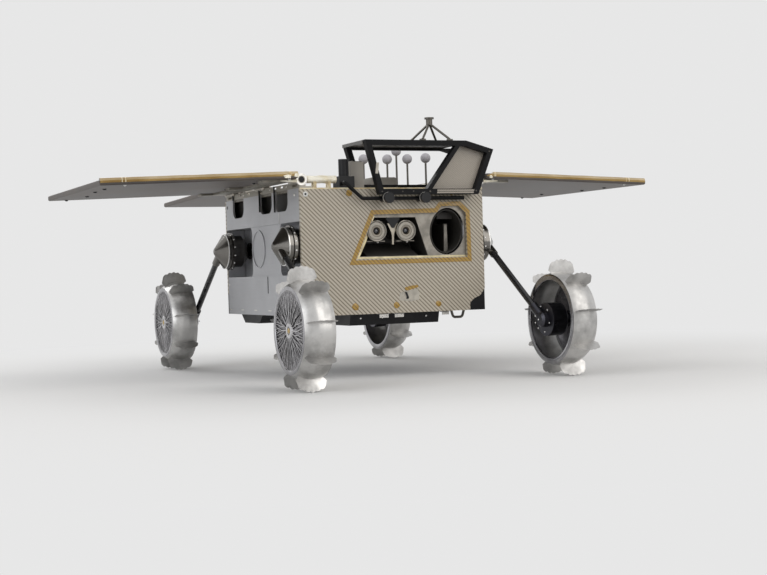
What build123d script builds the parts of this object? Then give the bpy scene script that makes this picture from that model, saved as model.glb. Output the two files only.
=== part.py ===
from build123d import *
import os
from math import atan2, cos, degrees, hypot, radians, sin

# Four-wheeled planetary rover prototype, in millimetres.
# It faces -Y and +Z is up, so its own right-hand side is -X and its left-hand side is +X.
# The pieces are laid out from the middle of the belly's underside, and moved at the end
# so that the origin is the middle of the footprint, on the ground.

# Body shell: two twill plates, front and back, with metal walls, deck and belly between them
BODY_WIDTH = 370.0
BODY_LENGTH = 436.0
BODY_HEIGHT = 232.0
PANEL_THICKNESS = 6.0
BRACKET_SET_BACK = 1.5
WALL_THICKNESS = 4.0
DECK_THICKNESS = 4.0
BELLY_THICKNESS = 4.0
# Both plates have a notch at each lower corner. Columns: distance in from the side, and height
CORNER_NOTCH = ((0.0, 41.0), (10.0, 27.0), (23.0, 22.0), (32.0, 14.0), (32.0, 0.0))
# Each wall is drawn inwards to two bays that the shoulders stand in
BAY_DEPTH = 38.0
BAY_SKIN = 2.0
BAY_CORNER = 12.0
BAY_LOW = 75.0
BAY_HIGH = 172.0
# Columns: end (-1 is the front) and how far the bay reaches from that end's plate
BAYS = ((-1, 112.0), (1, 150.0))
# Between the bays the wall is set in a little, and a ring is raised on it. The ring's middle is
# this far from the front face
CHANNEL_DEPTH = 3.0
WALL_RING_FROM_FRONT = 240.0
WALL_RING_RADIUS = 37.0
WALL_RING_WIDTH = 2.5
WALL_RING_HEIGHT = 1.5
NOTCH_WIDTH = 69.0
NOTCH_DEPTH = 38.0
# Columns: how far each notch's middle is from the front face
NOTCH_MIDDLES = (98.0, 185.0, 352.0)

# Instrument window in the front panel. Everything in it has its x measured from the window's
# left-hand end, which is this far in from the left wall. Columns: x and z of the corners
WINDOW_FROM_LEFT_WALL = 34.0
WINDOW_CORNERS = ((-228.0, 101.0), (-191.0, 182.0), (-67.0, 185.0), (-56.0, 198.0),
                  (-16.0, 199.0), (-1.0, 184.0), (0.0, 101.0))
BEZEL_THICKNESS = 3.0
BEZEL_OVERLAP = 7.0
BEZEL_EDGE = 1.0
BEZEL_CLEARANCE = 0.5
CAMERA_BAY_CORNERS = ((-225.0, 105.5), (-196.5, 177.0), (-105.0, 177.0), (-81.0, 105.5))
CAMERA_BAY_DEPTH = 62.0
CAMERA_BAY_WALL = 2.0
CAMERA_RAMP_RISE = 26.0
CAMERA_RAMP_ENDS = (-203.0, -99.0)
CAMERA_HEIGHT = 152.0
CAMERA_FLANGE_RADIUS = 18.5
CAMERA_BARREL_RADIUS = 14.5
CAMERA_LENS_RADIUS = 8.0
CAMERA_SET_BACK = 6.0
CAMERA_PAST_BAY = 12.0
# Columns: name and x of each camera
CAMERAS = (("right", -185.5), ("left", -126.0))
VIEW_TUBE_FROM_END = 40.0
VIEW_TUBE_Z = 150.0
VIEW_TUBE_HALF_WIDTH = 36.0
VIEW_TUBE_HALF_HEIGHT = 44.0
VIEW_TUBE_TILT = 8.0
VIEW_TUBE_STEP = 4.5
VIEW_TUBE_WALL = 1.6
VIEW_TUBE_DEPTH = 95.0
BAFFLE_WIDTH = 8.0
BAFFLE_FROM_MIDDLE = 5.0
BAFFLE_TOP = 165.0
BAFFLE_SET_BACK = 22.0

# Shoulders: a cone and a drum on the bay's floor, and a cap that turns on them with the leg
SHOULDER_INSET = 42.0
SHOULDER_HEIGHT = 128.0
SHOULDER_FOOT_RADIUS = 17.0
SHOULDER_FOOT_THICKNESS = 3.0
CONE_RIM_RADIUS = 38.0
CONE_NECK_RADIUS = 9.0
CONE_RIM_OUT = 10.0
CONE_DRUM_IN = 15.0
CONE_DRUM_RADIUS = 32.0
RIM_THICKNESS = 6.0
CAP_GAP = 0.5
CAP_RADIUS = 35.0
CAP_BAND = 8.5
CAP_TIP_OUT = 40.0
CAP_TIP_RADIUS = 6.0
JOURNAL_RADIUS = 10.0
JOURNAL_LENGTH = 20.0
RUNNING_GAP = 0.05

# Legs: from the shoulder forwards (or backwards) and down to the wheel drive
LEG_OUT = 26.0
LEG_REACH = 214.0
LEG_DROP = 145.5
LEG_RADIUS = 6.0
LEG_BORE_RADIUS = 4.6
SPIGOT_GAP = 0.1
SPIGOT_LENGTH = 15.0
BOSS_RADIUS = 8.0
BOSS_FROM_SHOULDER = 42.0
BOSS_FROM_DRIVE = 42.0
DRIVE_RADIUS = 30.0
DRIVE_CAP_RADIUS = 14.0
DRIVE_INNER_OUT = 17.0
DRIVE_STEP_OUT = 30.0
DRIVE_CHAMFER = 4.0
DRIVE_OUTER_OUT = 62.0

# Wheels: a crowned metal tread open towards the body, fan-shaped blades, and a web of spokes
WHEEL_MIDDLE_OUT = 66.0
WHEEL_WIDTH = 52.0
WHEEL_TIP_RADIUS = 108.0
TREAD_INNER_RADIUS = 81.0
TREAD_CROWN_RADIUS = 85.0
TREAD_OUTER_RADIUS = 74.0
TREAD_THICKNESS = 2.2
RIM_OPENING_RADIUS = 71.0
BLADE_COUNT = 9
BLADE_THICKNESS = 1.6
BLADE_ROOT_HALF = 19.0
BLADE_FLARE_HALF = 27.0
BLADE_FLARE_RADIUS = 93.0
BLADE_SHOULDER_HALF = 24.0
BLADE_VALLEY_RADIUS = 105.5
BLADE_TIP_FALL = 8.0
BLADE_LOBES = 5
AXLE_RADIUS = 8.0
HUB_RADIUS = 14.0
HUB_DEPTH = 18.0
WEB_THICKNESS = 2.4
WEB_RING_WIDTH = 4.0
WEB_FORK_RADIUS = 40.0
SPOKE_COUNT = 16
SPOKE_WIDTH = 1.8
FORK_WIDTH = 1.4

# Solar wings: sandwich panels on hinges along the deck's edges, drooping a little as they rest
WING_SPAN = 358.0
WING_AHEAD = 10.0
WING_PAST_REAR = 2.0
WING_THICKNESS = 10.0
WING_EDGE_RADIUS = 3.0
WING_ABOVE_HINGE = 1.5
WING_ROOT_GAP = 10.5
WING_DROOP = 2.0
REAR_WING_WIDTH = 430.0
REAR_WING_LENGTH = 334.0
REAR_WING_ROOT_GAP = 34.0
REAR_WING_DROOP = 1.2
HINGE_INSET = 5.0
HINGE_ABOVE_DECK = 15.0
HINGE_PIN_RADIUS = 6.8
HINGE_PIN_BORE = 5.4
KNUCKLE_RADIUS = 9.0
KNUCKLE_LENGTH = 24.0
LUG_LENGTH = 12.0
HINGE_PLAY = 0.5
HINGE_FOOT_THICKNESS = 3.0
HINGE_FOOT_WIDTH = 24.0
LUG_POST_WIDTH = 12.0
ARM_THICKNESS = 4.0
ARM_REACH = 70.0
# A doubler under each side wing's root joins its arms. A rail with slots stands on the deck's edge
DOUBLER_WIDTH = 34.0
DOUBLER_SET_BACK = 14.0
RAIL_SET_BACK = 9.0
RAIL_THICKNESS = 2.0
RAIL_HEIGHT = 11.0
RAIL_SLOT = (15.0, 3.5)
# Columns: end (-1 is the front) and how far each hinge's middle is from that end's face
SIDE_HINGE_STATIONS = ((-1, 26.0), (-1, 218.0), (1, 33.0))
# Columns: end, and how far each of the rail's slots is from that end's face
RAIL_SLOT_STATIONS = ((-1, 96.0), (-1, 132.0), (1, 150.0), (1, 95.0))
# Columns: how far each rear hinge's middle is from the middle
REAR_HINGE_STATIONS = (-120.0, 120.0)

# Test rig on the deck: two frames of square tube under a plate, in front one twill gusset
RIG_AHEAD = 24.0
RIG_DEPTH = 110.0
RIG_TUBE = 14.0
RIG_BAR = 10.0
RIG_PLATE_THICKNESS = 6.0
# Columns: x, and height above the deck, of the frames' corners
RIG_TOP_LEFT = (142.0, 86.0)
RIG_SHOULDER = (199.0, 70.0)
RIG_FOOT_LEFT = (165.0, -14.0)
RIG_FOOT_RIGHT = (-38.0, -14.0)
RIG_TOP_RIGHT = (-64.0, 86.0)
BRACE_TOP_X = 136.0
BRACE_FOOT_X = 62.0
GUSSET_THICKNESS = 2.0
GUSSET_INSIDE = 4.0
# Columns: x of each clamp on the front panel
CLAMPS = (-23.0, 51.0)
CLAMP_BELOW_DECK = 20.5
CLAMP_RADIUS = 10.0
CLAMP_DISC_THICKNESS = 10.0
CLAMP_STUB_RADIUS = 6.0
TIE_ROD_RADIUS = 3.4
TIE_ROD_SET_OFF = 12.0
TIE_ROD_START = 139.0
TIE_ROD_BEND = -68.0
TIE_ROD_TOP = -102.0
TIE_ROD_ABOVE_DECK = 9.0
TIE_ROD_BEND_RADIUS = 6.0
# The tripod's middle: x, and how far behind the rig's front
TRIPOD_MIDDLE = (84.0, 37.0)
TRIPOD_HALF = 28.0
TRIPOD_HEIGHT = 46.0
TRIPOD_LEG_RADIUS = 2.2
TRIPOD_FOOT = 3.0
EYE_PLATE_RADIUS = 9.0
EYE_PLATE_THICKNESS = 3.0
EYE_BORE_RADIUS = 3.0
EYE_BORE_DEPTH = 11.0
EYE_LENGTH = 14.0

# Things that stand on the deck. Their y is how far they are behind the front face
MARKER_RADIUS = 10.0
MARKER_SEAT = 4.0
MARKER_STEM_RADIUS = 2.0
MARKER_FOOT_RADIUS = 6.0
MARKER_FOOT_HEIGHT = 3.0
# Columns: x, distance behind the front face, and height above the deck of each ball's middle
MARKERS = ((40.0, 228.0, 72.0), (108.0, 218.0, 88.0), (92.0, 228.0, 72.0),
           (132.0, 218.0, 72.0), (150.0, 170.0, 70.0))
# Columns: how far in from the right wall each box starts and ends, nearest and furthest from the
# front face, and height
DECK_BOXES = ((133.0, 167.0, 100.0, 168.0, 22.0), (187.0, 239.0, 100.0, 168.0, 25.0),
              (115.0, 141.0, 34.0, 58.0, 50.0))
DECK_TUBE_RADIUS = 5.4
DECK_TUBE_WALL = 1.0
# Columns: how far in from the right wall the tube starts and ends
DECK_TUBE_ENDS = (16.0, 74.0)
DECK_TUBE_HEIGHT = 15.5
DECK_TUBE_FROM_FRONT = 8.0
SADDLE_LENGTH = 6.0
SOCKET_FROM_RIGHT_WALL = 99.0
SOCKET_FROM_FRONT = 30.0
SOCKET_BASE = 30.0
SOCKET_BASE_HEIGHT = 22.0
SOCKET_RADIUS = 9.5
SOCKET_BORE_RADIUS = 7.0
SOCKET_BORE_DEPTH = 24.0
SOCKET_HEIGHT = 54.0

# Under the belly
# Columns: lowest x, highest x, nearest and furthest from the front face, depth, and how far
# the lower edge draws in
BELLY_UNITS = ((-84.0, 98.0, 22.0, 114.0, 21.0, 6.0), (-60.0, 60.0, 278.0, 388.0, 16.0, 6.0))
# One pod along each wall: set in from it, width, nearest and furthest from the front, depth, draw
POD_SET_IN = 6.0
POD_WIDTH = 40.0
POD_REACH = (238.0, 368.0)
POD_DEPTH = 17.0
POD_DRAW = 22.0
SKID_WIDTH = 34.0
SKID_DEPTH = 17.0
SKID_DRAW = 5.0
SKID_ROD_RADIUS = 2.5
SKID_BEND_RADIUS = 6.0
SKID_FROM_LEFT_WALL = 25.0
SKID_FROM_FRONT = 68.0
# The inner module, set in from each wall and from the front and rear faces
SERVICE_SET_IN = 65.0
SERVICE_FROM_FRONT = 128.0
SERVICE_FROM_REAR = 48.0
SERVICE_HEIGHT = 120.0

HALF_WIDTH = BODY_WIDTH / 2
HALF_LENGTH = BODY_LENGTH / 2
FRONT = -HALF_LENGTH
PANEL_BACK = FRONT + PANEL_THICKNESS
WINDOW_X = HALF_WIDTH - WINDOW_FROM_LEFT_WALL
VIEW_TUBE_X = WINDOW_X - VIEW_TUBE_FROM_END
SHOULDER_Y = FRONT + SHOULDER_INSET
LEG_LENGTH = hypot(LEG_REACH, LEG_DROP)
LEG_DIRECTION = (0.0, -LEG_REACH / LEG_LENGTH, -LEG_DROP / LEG_LENGTH)
LEG_X = HALF_WIDTH + LEG_OUT
WHEEL_X = HALF_WIDTH + WHEEL_MIDDLE_OUT
WHEEL_Y = SHOULDER_Y - LEG_REACH
WHEEL_Z = SHOULDER_HEIGHT - LEG_DROP
HINGE_Z = BODY_HEIGHT + HINGE_ABOVE_DECK
HINGE_X = HALF_WIDTH - HINGE_INSET
HINGE_Y = HALF_LENGTH - HINGE_INSET
RIG_FRONT = FRONT - RIG_AHEAD
RIG_FRAME_BACK = RIG_FRONT + RIG_TUBE
RIG_BACK = RIG_FRONT + RIG_DEPTH
RIG_TOP = BODY_HEIGHT + RIG_TOP_LEFT[1]
RIG_FOOT = BODY_HEIGHT + RIG_FOOT_LEFT[1]
CLAMP_HEIGHT = BODY_HEIGHT - CLAMP_BELOW_DECK
SOCKET_X = SOCKET_FROM_RIGHT_WALL - HALF_WIDTH
SOCKET_Y = FRONT + SOCKET_FROM_FRONT

# Columns: name, side (+1 is the vehicle's left), and end (-1 is the front)
CORNERS = (("front_left", 1, -1), ("front_right", -1, -1), ("rear_left", 1, 1), ("rear_right", -1, 1))

parts = {}


def box(x_low, x_high, y_low, y_high, z_low, z_high):
    middle = ((x_low + x_high) / 2, (y_low + y_high) / 2, (z_low + z_high) / 2)
    return Pos(*middle) * Box(x_high - x_low, y_high - y_low, z_high - z_low)


def face_of(points):
    return make_face(Polyline(*points, close=True))


def slab_x(points, x_low, x_high):
    """A plate whose outline is given as (y, z) points."""
    return extrude(Plane.YZ.offset(x_low) * face_of(points), x_high - x_low)


def slab_y(points, y_low, y_high):
    """A plate whose outline is given as (x, z) points."""
    return extrude(Plane.XZ.offset(-y_high) * face_of(points), y_high - y_low)


def turned(points, y, z):
    """A solid of revolution about an axis along X, from (x, radius) points."""
    return Pos(0, y, z) * revolve(face_of(points), Axis.X)


def rod(start, direction, radius, length, bore=0.0):
    ring = Circle(radius)
    if bore > 0:
        ring = ring - Circle(bore)
    return extrude(Plane(origin=start, z_dir=direction) * ring, length)


def at_corner(shape, side, end):
    """Mirror a piece made for the front left corner to another corner."""
    if side < 0:
        shape = mirror(shape, about=Plane.YZ)
    if end > 0:
        shape = mirror(shape, about=Plane.XZ)
    return shape


def along_leg(distance):
    return (LEG_X, SHOULDER_Y + LEG_DIRECTION[1] * distance, SHOULDER_HEIGHT + LEG_DIRECTION[2] * distance)


def panel_outline():
    """The front and back plates: a rectangle with a notch at both lower corners."""
    left = [(HALF_WIDTH - inwards, height) for inwards, height in CORNER_NOTCH]
    right = [(-x_point, height) for x_point, height in reversed(left)]
    return (*left, *right, (-HALF_WIDTH, BODY_HEIGHT), (HALF_WIDTH, BODY_HEIGHT))


def in_window(points):
    """Points of the window's tables, with x from the middle of the body."""
    return [(WINDOW_X + across, height) for across, height in points]


def front_panel():
    window = slab_y(in_window(WINDOW_CORNERS), FRONT - 1, PANEL_BACK + 1)
    return slab_y(panel_outline(), FRONT, PANEL_BACK) - window


def rear_panel():
    return slab_y(panel_outline(), -PANEL_BACK, HALF_LENGTH)


def bay_core(reach, end, x_low, grow):
    """The rounded block of one bay, from x_low out to the wall's face and on past the end plate."""
    length = reach + 2 * BAY_CORNER
    outline = RectangleRounded(length + 2 * grow, BAY_HIGH - BAY_LOW + 2 * grow, BAY_CORNER + grow)
    middle = PANEL_BACK + reach - length / 2
    block = extrude(Plane.YZ.offset(x_low) * Pos(middle, (BAY_LOW + BAY_HIGH) / 2) * outline,
                    HALF_WIDTH - x_low)
    return at_corner(block, 1, end)


def side_wall():
    """The left wall: a plate notched along its top, with two bays for the shoulders."""
    inner = HALF_WIDTH - WALL_THICKNESS
    floor = HALF_WIDTH - BAY_DEPTH
    pan_end = PANEL_BACK + BEZEL_THICKNESS + BEZEL_CLEARANCE
    wall = box(inner, HALF_WIDTH, PANEL_BACK, -PANEL_BACK, 0, BODY_HEIGHT)
    for from_front in NOTCH_MIDDLES:
        notch = RectangleRounded(NOTCH_WIDTH, 2 * NOTCH_DEPTH, NOTCH_WIDTH / 4)
        wall -= extrude(Plane.YZ.offset(inner - 1) * Pos(FRONT + from_front, BODY_HEIGHT) * notch,
                        WALL_THICKNESS + 2)
    channel = HALF_WIDTH - CHANNEL_DEPTH
    wall += box(channel - BAY_SKIN, HALF_WIDTH, pan_end, -pan_end, BAY_LOW - BAY_SKIN, BAY_HIGH + BAY_SKIN)
    for end, reach in BAYS:
        pan = bay_core(reach, end, floor - BAY_SKIN, BAY_SKIN)
        wall += pan & box(0, HALF_WIDTH, pan_end, -pan_end, 0, BODY_HEIGHT)
    for end, reach in BAYS:
        wall -= bay_core(reach, end, floor, 0.0)
    wall -= box(channel, HALF_WIDTH + 1, PANEL_BACK, -PANEL_BACK, BAY_LOW, BAY_HIGH)
    ring_start = (channel, FRONT + WALL_RING_FROM_FRONT, SHOULDER_HEIGHT)
    wall += rod(ring_start, (1, 0, 0), WALL_RING_RADIUS, WALL_RING_HEIGHT, WALL_RING_RADIUS - WALL_RING_WIDTH)
    return wall


def deck():
    inner = HALF_WIDTH - WALL_THICKNESS
    return box(-inner, inner, PANEL_BACK, -PANEL_BACK, BODY_HEIGHT - DECK_THICKNESS, BODY_HEIGHT)


def belly():
    inner = HALF_WIDTH - WALL_THICKNESS
    return box(-inner, inner, PANEL_BACK, -PANEL_BACK, 0, BELLY_THICKNESS)


def corner_brackets():
    """Black blocks that fill the plates' notches from behind."""
    outline = [(HALF_WIDTH - inwards, height) for inwards, height in CORNER_NOTCH]
    bracket = slab_y((*outline, (HALF_WIDTH, 0)), FRONT + BRACKET_SET_BACK, PANEL_BACK)
    return Compound([at_corner(bracket, side, end) for _, side, end in CORNERS])


def bezel():
    """The metal plate behind the window, cut out for the camera bay and the viewing tube."""
    window = face_of(in_window(WINDOW_CORNERS))
    outline = offset(window, BEZEL_OVERLAP, kind=Kind.INTERSECTION)
    plate = extrude(Plane.XZ.offset(-(PANEL_BACK + BEZEL_THICKNESS)) * outline, BEZEL_THICKNESS)
    plate -= slab_y(in_window(CAMERA_BAY_CORNERS), PANEL_BACK - 1, PANEL_BACK + BEZEL_THICKNESS + 1)
    plate &= box(-HALF_WIDTH, WINDOW_X + BEZEL_EDGE, PANEL_BACK - 1, PANEL_BACK + BEZEL_THICKNESS + 1,
                 0, BODY_HEIGHT)
    return plate - view_tube_core(PANEL_BACK - 1, PANEL_BACK + BEZEL_THICKNESS + 1, 0.0)


def view_tube_core(y_low, y_high, grow):
    """The tube's leaning oval, made larger or smaller all round."""
    oval = Ellipse(VIEW_TUBE_HALF_WIDTH + grow, VIEW_TUBE_HALF_HEIGHT + grow)
    plane = Plane.XZ.offset(-y_high)
    shape = extrude(plane * Rot(0, 0, -VIEW_TUBE_TILT) * oval, y_high - y_low)
    return Pos(VIEW_TUBE_X, 0, VIEW_TUBE_Z) * shape


def view_tube():
    """The dark oval tube that the spectrometer looks out of, with an upright bar across its depth."""
    mouth = PANEL_BACK + BEZEL_THICKNESS
    end = mouth + VIEW_TUBE_DEPTH
    tube = view_tube_core(mouth, end, VIEW_TUBE_WALL - VIEW_TUBE_STEP)
    tube -= view_tube_core(mouth - 1, end - VIEW_TUBE_WALL, -VIEW_TUBE_STEP)
    bar_front = mouth + BAFFLE_SET_BACK
    bar_x = VIEW_TUBE_X + BAFFLE_FROM_MIDDLE
    bar = box(bar_x, bar_x + BAFFLE_WIDTH, bar_front, end - VIEW_TUBE_WALL, 0, BAFFLE_TOP)
    return tube + (bar & view_tube_core(mouth, end, -VIEW_TUBE_STEP))


def camera_bay():
    """The dark tray that the cameras look out of: its floor rises towards the back."""
    front = PANEL_BACK + BEZEL_THICKNESS
    back = front + CAMERA_BAY_DEPTH
    inner = face_of(in_window(CAMERA_BAY_CORNERS))
    outer = offset(inner, CAMERA_BAY_WALL, kind=Kind.INTERSECTION)
    tray = extrude(Plane.XZ.offset(-back) * outer, CAMERA_BAY_DEPTH)
    tray -= extrude(Plane.XZ.offset(-(back - CAMERA_BAY_WALL)) * inner, CAMERA_BAY_DEPTH)
    floor = CAMERA_BAY_CORNERS[0][1]
    ramp = slab_x(((front, floor), (back, floor), (back, floor + CAMERA_RAMP_RISE)),
                  *(WINDOW_X + end for end in CAMERA_RAMP_ENDS))
    tray += ramp & extrude(Plane.XZ.offset(-back) * outer, CAMERA_BAY_DEPTH)
    for _, across in CAMERAS:
        tray -= rod((WINDOW_X + across, back + 1, CAMERA_HEIGHT), (0, -1, 0),
                    CAMERA_BARREL_RADIUS + SPIGOT_GAP, CAMERA_BAY_DEPTH)
    return tray


def camera(x_middle):
    """One navigation camera: a barrel, a ringed flange and a lens set back in it."""
    nose = FRONT + CAMERA_SET_BACK
    back = PANEL_BACK + BEZEL_THICKNESS + CAMERA_BAY_DEPTH + CAMERA_PAST_BAY
    profile = ((nose, 0), (nose, CAMERA_FLANGE_RADIUS), (nose + 5, CAMERA_FLANGE_RADIUS),
               (nose + 5, CAMERA_BARREL_RADIUS), (back, CAMERA_BARREL_RADIUS), (back, 0))
    barrel = revolve(face_of(profile), Axis.X)
    face = ((nose - 1, 0), (nose - 1, CAMERA_BARREL_RADIUS), (nose, CAMERA_BARREL_RADIUS),
            (nose + 4, CAMERA_LENS_RADIUS), (nose + 6, CAMERA_LENS_RADIUS), (nose + 6, 0))
    barrel -= revolve(face_of(face), Axis.X)
    return Pos(x_middle, 0, CAMERA_HEIGHT) * Rot(0, 0, 90) * barrel


def shoulder_mount():
    """Left front: a foot on the bay's floor, and a cone that opens from it to a drum and its rim."""
    floor = HALF_WIDTH - BAY_DEPTH
    neck = floor + SHOULDER_FOOT_THICKNESS
    rim = HALF_WIDTH + CONE_RIM_OUT
    profile = ((floor, 0), (floor, SHOULDER_FOOT_RADIUS), (neck, SHOULDER_FOOT_RADIUS),
               (neck, CONE_NECK_RADIUS),
               (HALF_WIDTH - CONE_DRUM_IN, CONE_DRUM_RADIUS), (rim - RIM_THICKNESS, CONE_DRUM_RADIUS),
               (rim - RIM_THICKNESS, CONE_RIM_RADIUS), (rim, CONE_RIM_RADIUS), (rim, 0))
    bore = ((rim - JOURNAL_LENGTH - 1, 0), (rim - JOURNAL_LENGTH - 1, JOURNAL_RADIUS + RUNNING_GAP),
            (rim + 1, JOURNAL_RADIUS + RUNNING_GAP), (rim + 1, 0))
    return turned(profile, SHOULDER_Y, SHOULDER_HEIGHT) - turned(bore, SHOULDER_Y, SHOULDER_HEIGHT)


def shoulder_cap():
    """Left front: the outer cone, its journal and the boss that the leg is plugged on."""
    rim = HALF_WIDTH + CONE_RIM_OUT + CAP_GAP
    tip = HALF_WIDTH + CAP_TIP_OUT
    cap = ((rim, 0), (rim, CAP_RADIUS), (rim + CAP_BAND, CAP_RADIUS), (tip, CAP_TIP_RADIUS), (tip, 0))
    journal = ((rim - JOURNAL_LENGTH, 0), (rim - JOURNAL_LENGTH, JOURNAL_RADIUS),
               (rim, JOURNAL_RADIUS), (rim, 0))
    shape = turned(cap, SHOULDER_Y, SHOULDER_HEIGHT) + turned(journal, SHOULDER_Y, SHOULDER_HEIGHT)
    shape += rod(along_leg(0), LEG_DIRECTION, BOSS_RADIUS, BOSS_FROM_SHOULDER)
    return shape + rod(along_leg(0), LEG_DIRECTION, LEG_BORE_RADIUS - SPIGOT_GAP,
                       BOSS_FROM_SHOULDER + SPIGOT_LENGTH)


def leg_tube():
    length = LEG_LENGTH - BOSS_FROM_SHOULDER - BOSS_FROM_DRIVE
    return rod(along_leg(BOSS_FROM_SHOULDER), LEG_DIRECTION, LEG_RADIUS, length, LEG_BORE_RADIUS)


def wheel_drive():
    """Left front: the round drive inside the wheel, with the boss of the leg and the axle."""
    inner = HALF_WIDTH + DRIVE_INNER_OUT
    step = HALF_WIDTH + DRIVE_STEP_OUT
    outer = HALF_WIDTH + DRIVE_OUTER_OUT
    axle_end = WHEEL_X + WHEEL_WIDTH / 2 - 3
    housing = ((inner, 0), (inner, DRIVE_CAP_RADIUS - DRIVE_CHAMFER),
               (inner + DRIVE_CHAMFER, DRIVE_CAP_RADIUS), (step, DRIVE_CAP_RADIUS), (step, DRIVE_RADIUS),
               (outer - DRIVE_CHAMFER, DRIVE_RADIUS), (outer, DRIVE_RADIUS - DRIVE_CHAMFER),
               (outer, AXLE_RADIUS), (axle_end, AXLE_RADIUS), (axle_end, 0))
    shape = turned(housing, WHEEL_Y, WHEEL_Z)
    boss_start = LEG_LENGTH - BOSS_FROM_DRIVE
    shape += rod(along_leg(boss_start), LEG_DIRECTION, BOSS_RADIUS, BOSS_FROM_DRIVE)
    return shape + rod(along_leg(boss_start - SPIGOT_LENGTH), LEG_DIRECTION, LEG_BORE_RADIUS - SPIGOT_GAP,
                       SPIGOT_LENGTH)


def tread_profile(inset):
    """(x, radius) outline of the wheel about its own middle, its skin drawn in by inset."""
    half = WHEEL_WIDTH / 2
    crown = ThreePointArc((-half + inset, TREAD_INNER_RADIUS - inset), (-2.0, TREAD_CROWN_RADIUS - inset),
                          (half - inset, TREAD_OUTER_RADIUS - inset))
    walls = Polyline((half - inset, TREAD_OUTER_RADIUS - inset), (half - inset, 0), (-half + inset, 0),
                     (-half + inset, TREAD_INNER_RADIUS - inset))
    return make_face([crown, walls])


def blade_outline():
    """(x, radius) outline of one fan-shaped blade, its outer edge scalloped in lobes."""
    pitch = 2 * BLADE_SHOULDER_HALF / BLADE_LOBES
    points = []
    for step in range(2 * BLADE_LOBES + 1):
        across = -BLADE_SHOULDER_HALF + step * pitch / 2
        base = WHEEL_TIP_RADIUS if step % 2 else BLADE_VALLEY_RADIUS
        points.append((across, base - BLADE_TIP_FALL * (across / BLADE_SHOULDER_HALF) ** 2))
    edges = [ThreePointArc(*points[first:first + 3]) for first in range(0, 2 * BLADE_LOBES, 2)]
    side = (points[-1], (BLADE_FLARE_HALF, BLADE_FLARE_RADIUS),
            (BLADE_ROOT_HALF, TREAD_OUTER_RADIUS), (-BLADE_ROOT_HALF, TREAD_OUTER_RADIUS),
            (-BLADE_FLARE_HALF, BLADE_FLARE_RADIUS), points[0])
    edges.append(Polyline(*side))
    return make_face(edges)


def web():
    """The spider web of the wheel's outer face: spokes that each fork in two at half-way."""
    outer = WHEEL_WIDTH / 2
    inner = outer - WEB_THICKNESS
    rim_radius = TREAD_OUTER_RADIUS - TREAD_THICKNESS / 2
    disc = Plane.YZ.offset(inner)
    drawing = Circle(rim_radius) - Circle(rim_radius - WEB_RING_WIDTH)
    drawing += Circle(HUB_RADIUS)
    fork_angle = 180.0 / SPOKE_COUNT / 2
    rim_middle = rim_radius - WEB_RING_WIDTH / 2
    for spoke in range(SPOKE_COUNT):
        angle = 360.0 / SPOKE_COUNT * spoke
        fork_point = Vector(WEB_FORK_RADIUS, 0)
        run = WEB_FORK_RADIUS - HUB_RADIUS + 4
        bar = Pos(WEB_FORK_RADIUS - run / 2, 0) * Rectangle(run, SPOKE_WIDTH)
        for turn in (-fork_angle, fork_angle):
            end = Vector(rim_middle * cos(radians(turn)), rim_middle * sin(radians(turn)))
            branch = end - fork_point
            lean = degrees(atan2(branch.Y, branch.X))
            middle = (fork_point + end) * 0.5
            bar += Pos(middle.X, middle.Y) * Rot(0, 0, lean) * Rectangle(branch.length, FORK_WIDTH)
        drawing += Rot(0, 0, angle) * bar
    return extrude(disc * drawing, WEB_THICKNESS)


def wheel():
    """Left front wheel, with two blades either side of straight down."""
    half = WHEEL_WIDTH / 2
    shape = revolve(tread_profile(0.0), Axis.X)
    blade = extrude(Plane.XY.offset(-BLADE_THICKNESS / 2) * blade_outline(), BLADE_THICKNESS)
    for index in range(BLADE_COUNT):
        shape += Rot(360.0 / BLADE_COUNT * index + 90, 0, 0) * blade
    shape -= revolve(tread_profile(TREAD_THICKNESS), Axis.X)
    mouth_end = TREAD_THICKNESS + 1 - half
    mouth = ((-half - 1, 0), (-half - 1, RIM_OPENING_RADIUS), (mouth_end, RIM_OPENING_RADIUS), (mouth_end, 0))
    shape -= revolve(face_of(mouth), Axis.X)
    outlet_radius = TREAD_OUTER_RADIUS - TREAD_THICKNESS
    outlet = ((half - TREAD_THICKNESS - 1, 0), (half - TREAD_THICKNESS - 1, outlet_radius),
              (half + 1, outlet_radius), (half + 1, 0))
    shape -= revolve(face_of(outlet), Axis.X)
    shape += web()
    hub = ((half - HUB_DEPTH, 0), (half - HUB_DEPTH, HUB_RADIUS), (half, HUB_RADIUS), (half, 0))
    bore = ((half - HUB_DEPTH - 1, 0), (half - HUB_DEPTH - 1, AXLE_RADIUS + RUNNING_GAP),
            (half - 2, AXLE_RADIUS + RUNNING_GAP), (half - 2, 0))
    shape += revolve(face_of(hub), Axis.X)
    shape -= revolve(face_of(bore), Axis.X)
    return Pos(WHEEL_X, WHEEL_Y, WHEEL_Z) * shape


def about_hinge(shape, side, angle):
    """Turn a wing about its hinge: side +1 for the left wing, 0 for the rear one."""
    if side == 0:
        return Pos(0, HINGE_Y, HINGE_Z) * Rot(-angle, 0, 0) * Pos(0, -HINGE_Y, -HINGE_Z) * shape
    return Pos(HINGE_X, 0, HINGE_Z) * Rot(0, angle, 0) * Pos(-HINGE_X, 0, -HINGE_Z) * shape


def wing_panel():
    """Left wing: a flat sandwich panel."""
    root = HINGE_X + WING_ROOT_GAP
    low = HINGE_Z + WING_ABOVE_HINGE
    panel = box(root, root + WING_SPAN, FRONT - WING_AHEAD, HALF_LENGTH + WING_PAST_REAR,
                low, low + WING_THICKNESS)
    panel = fillet(panel.edges().filter_by(Axis.Z, reverse=True), WING_EDGE_RADIUS)
    return about_hinge(panel, 1, WING_DROOP)


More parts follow.
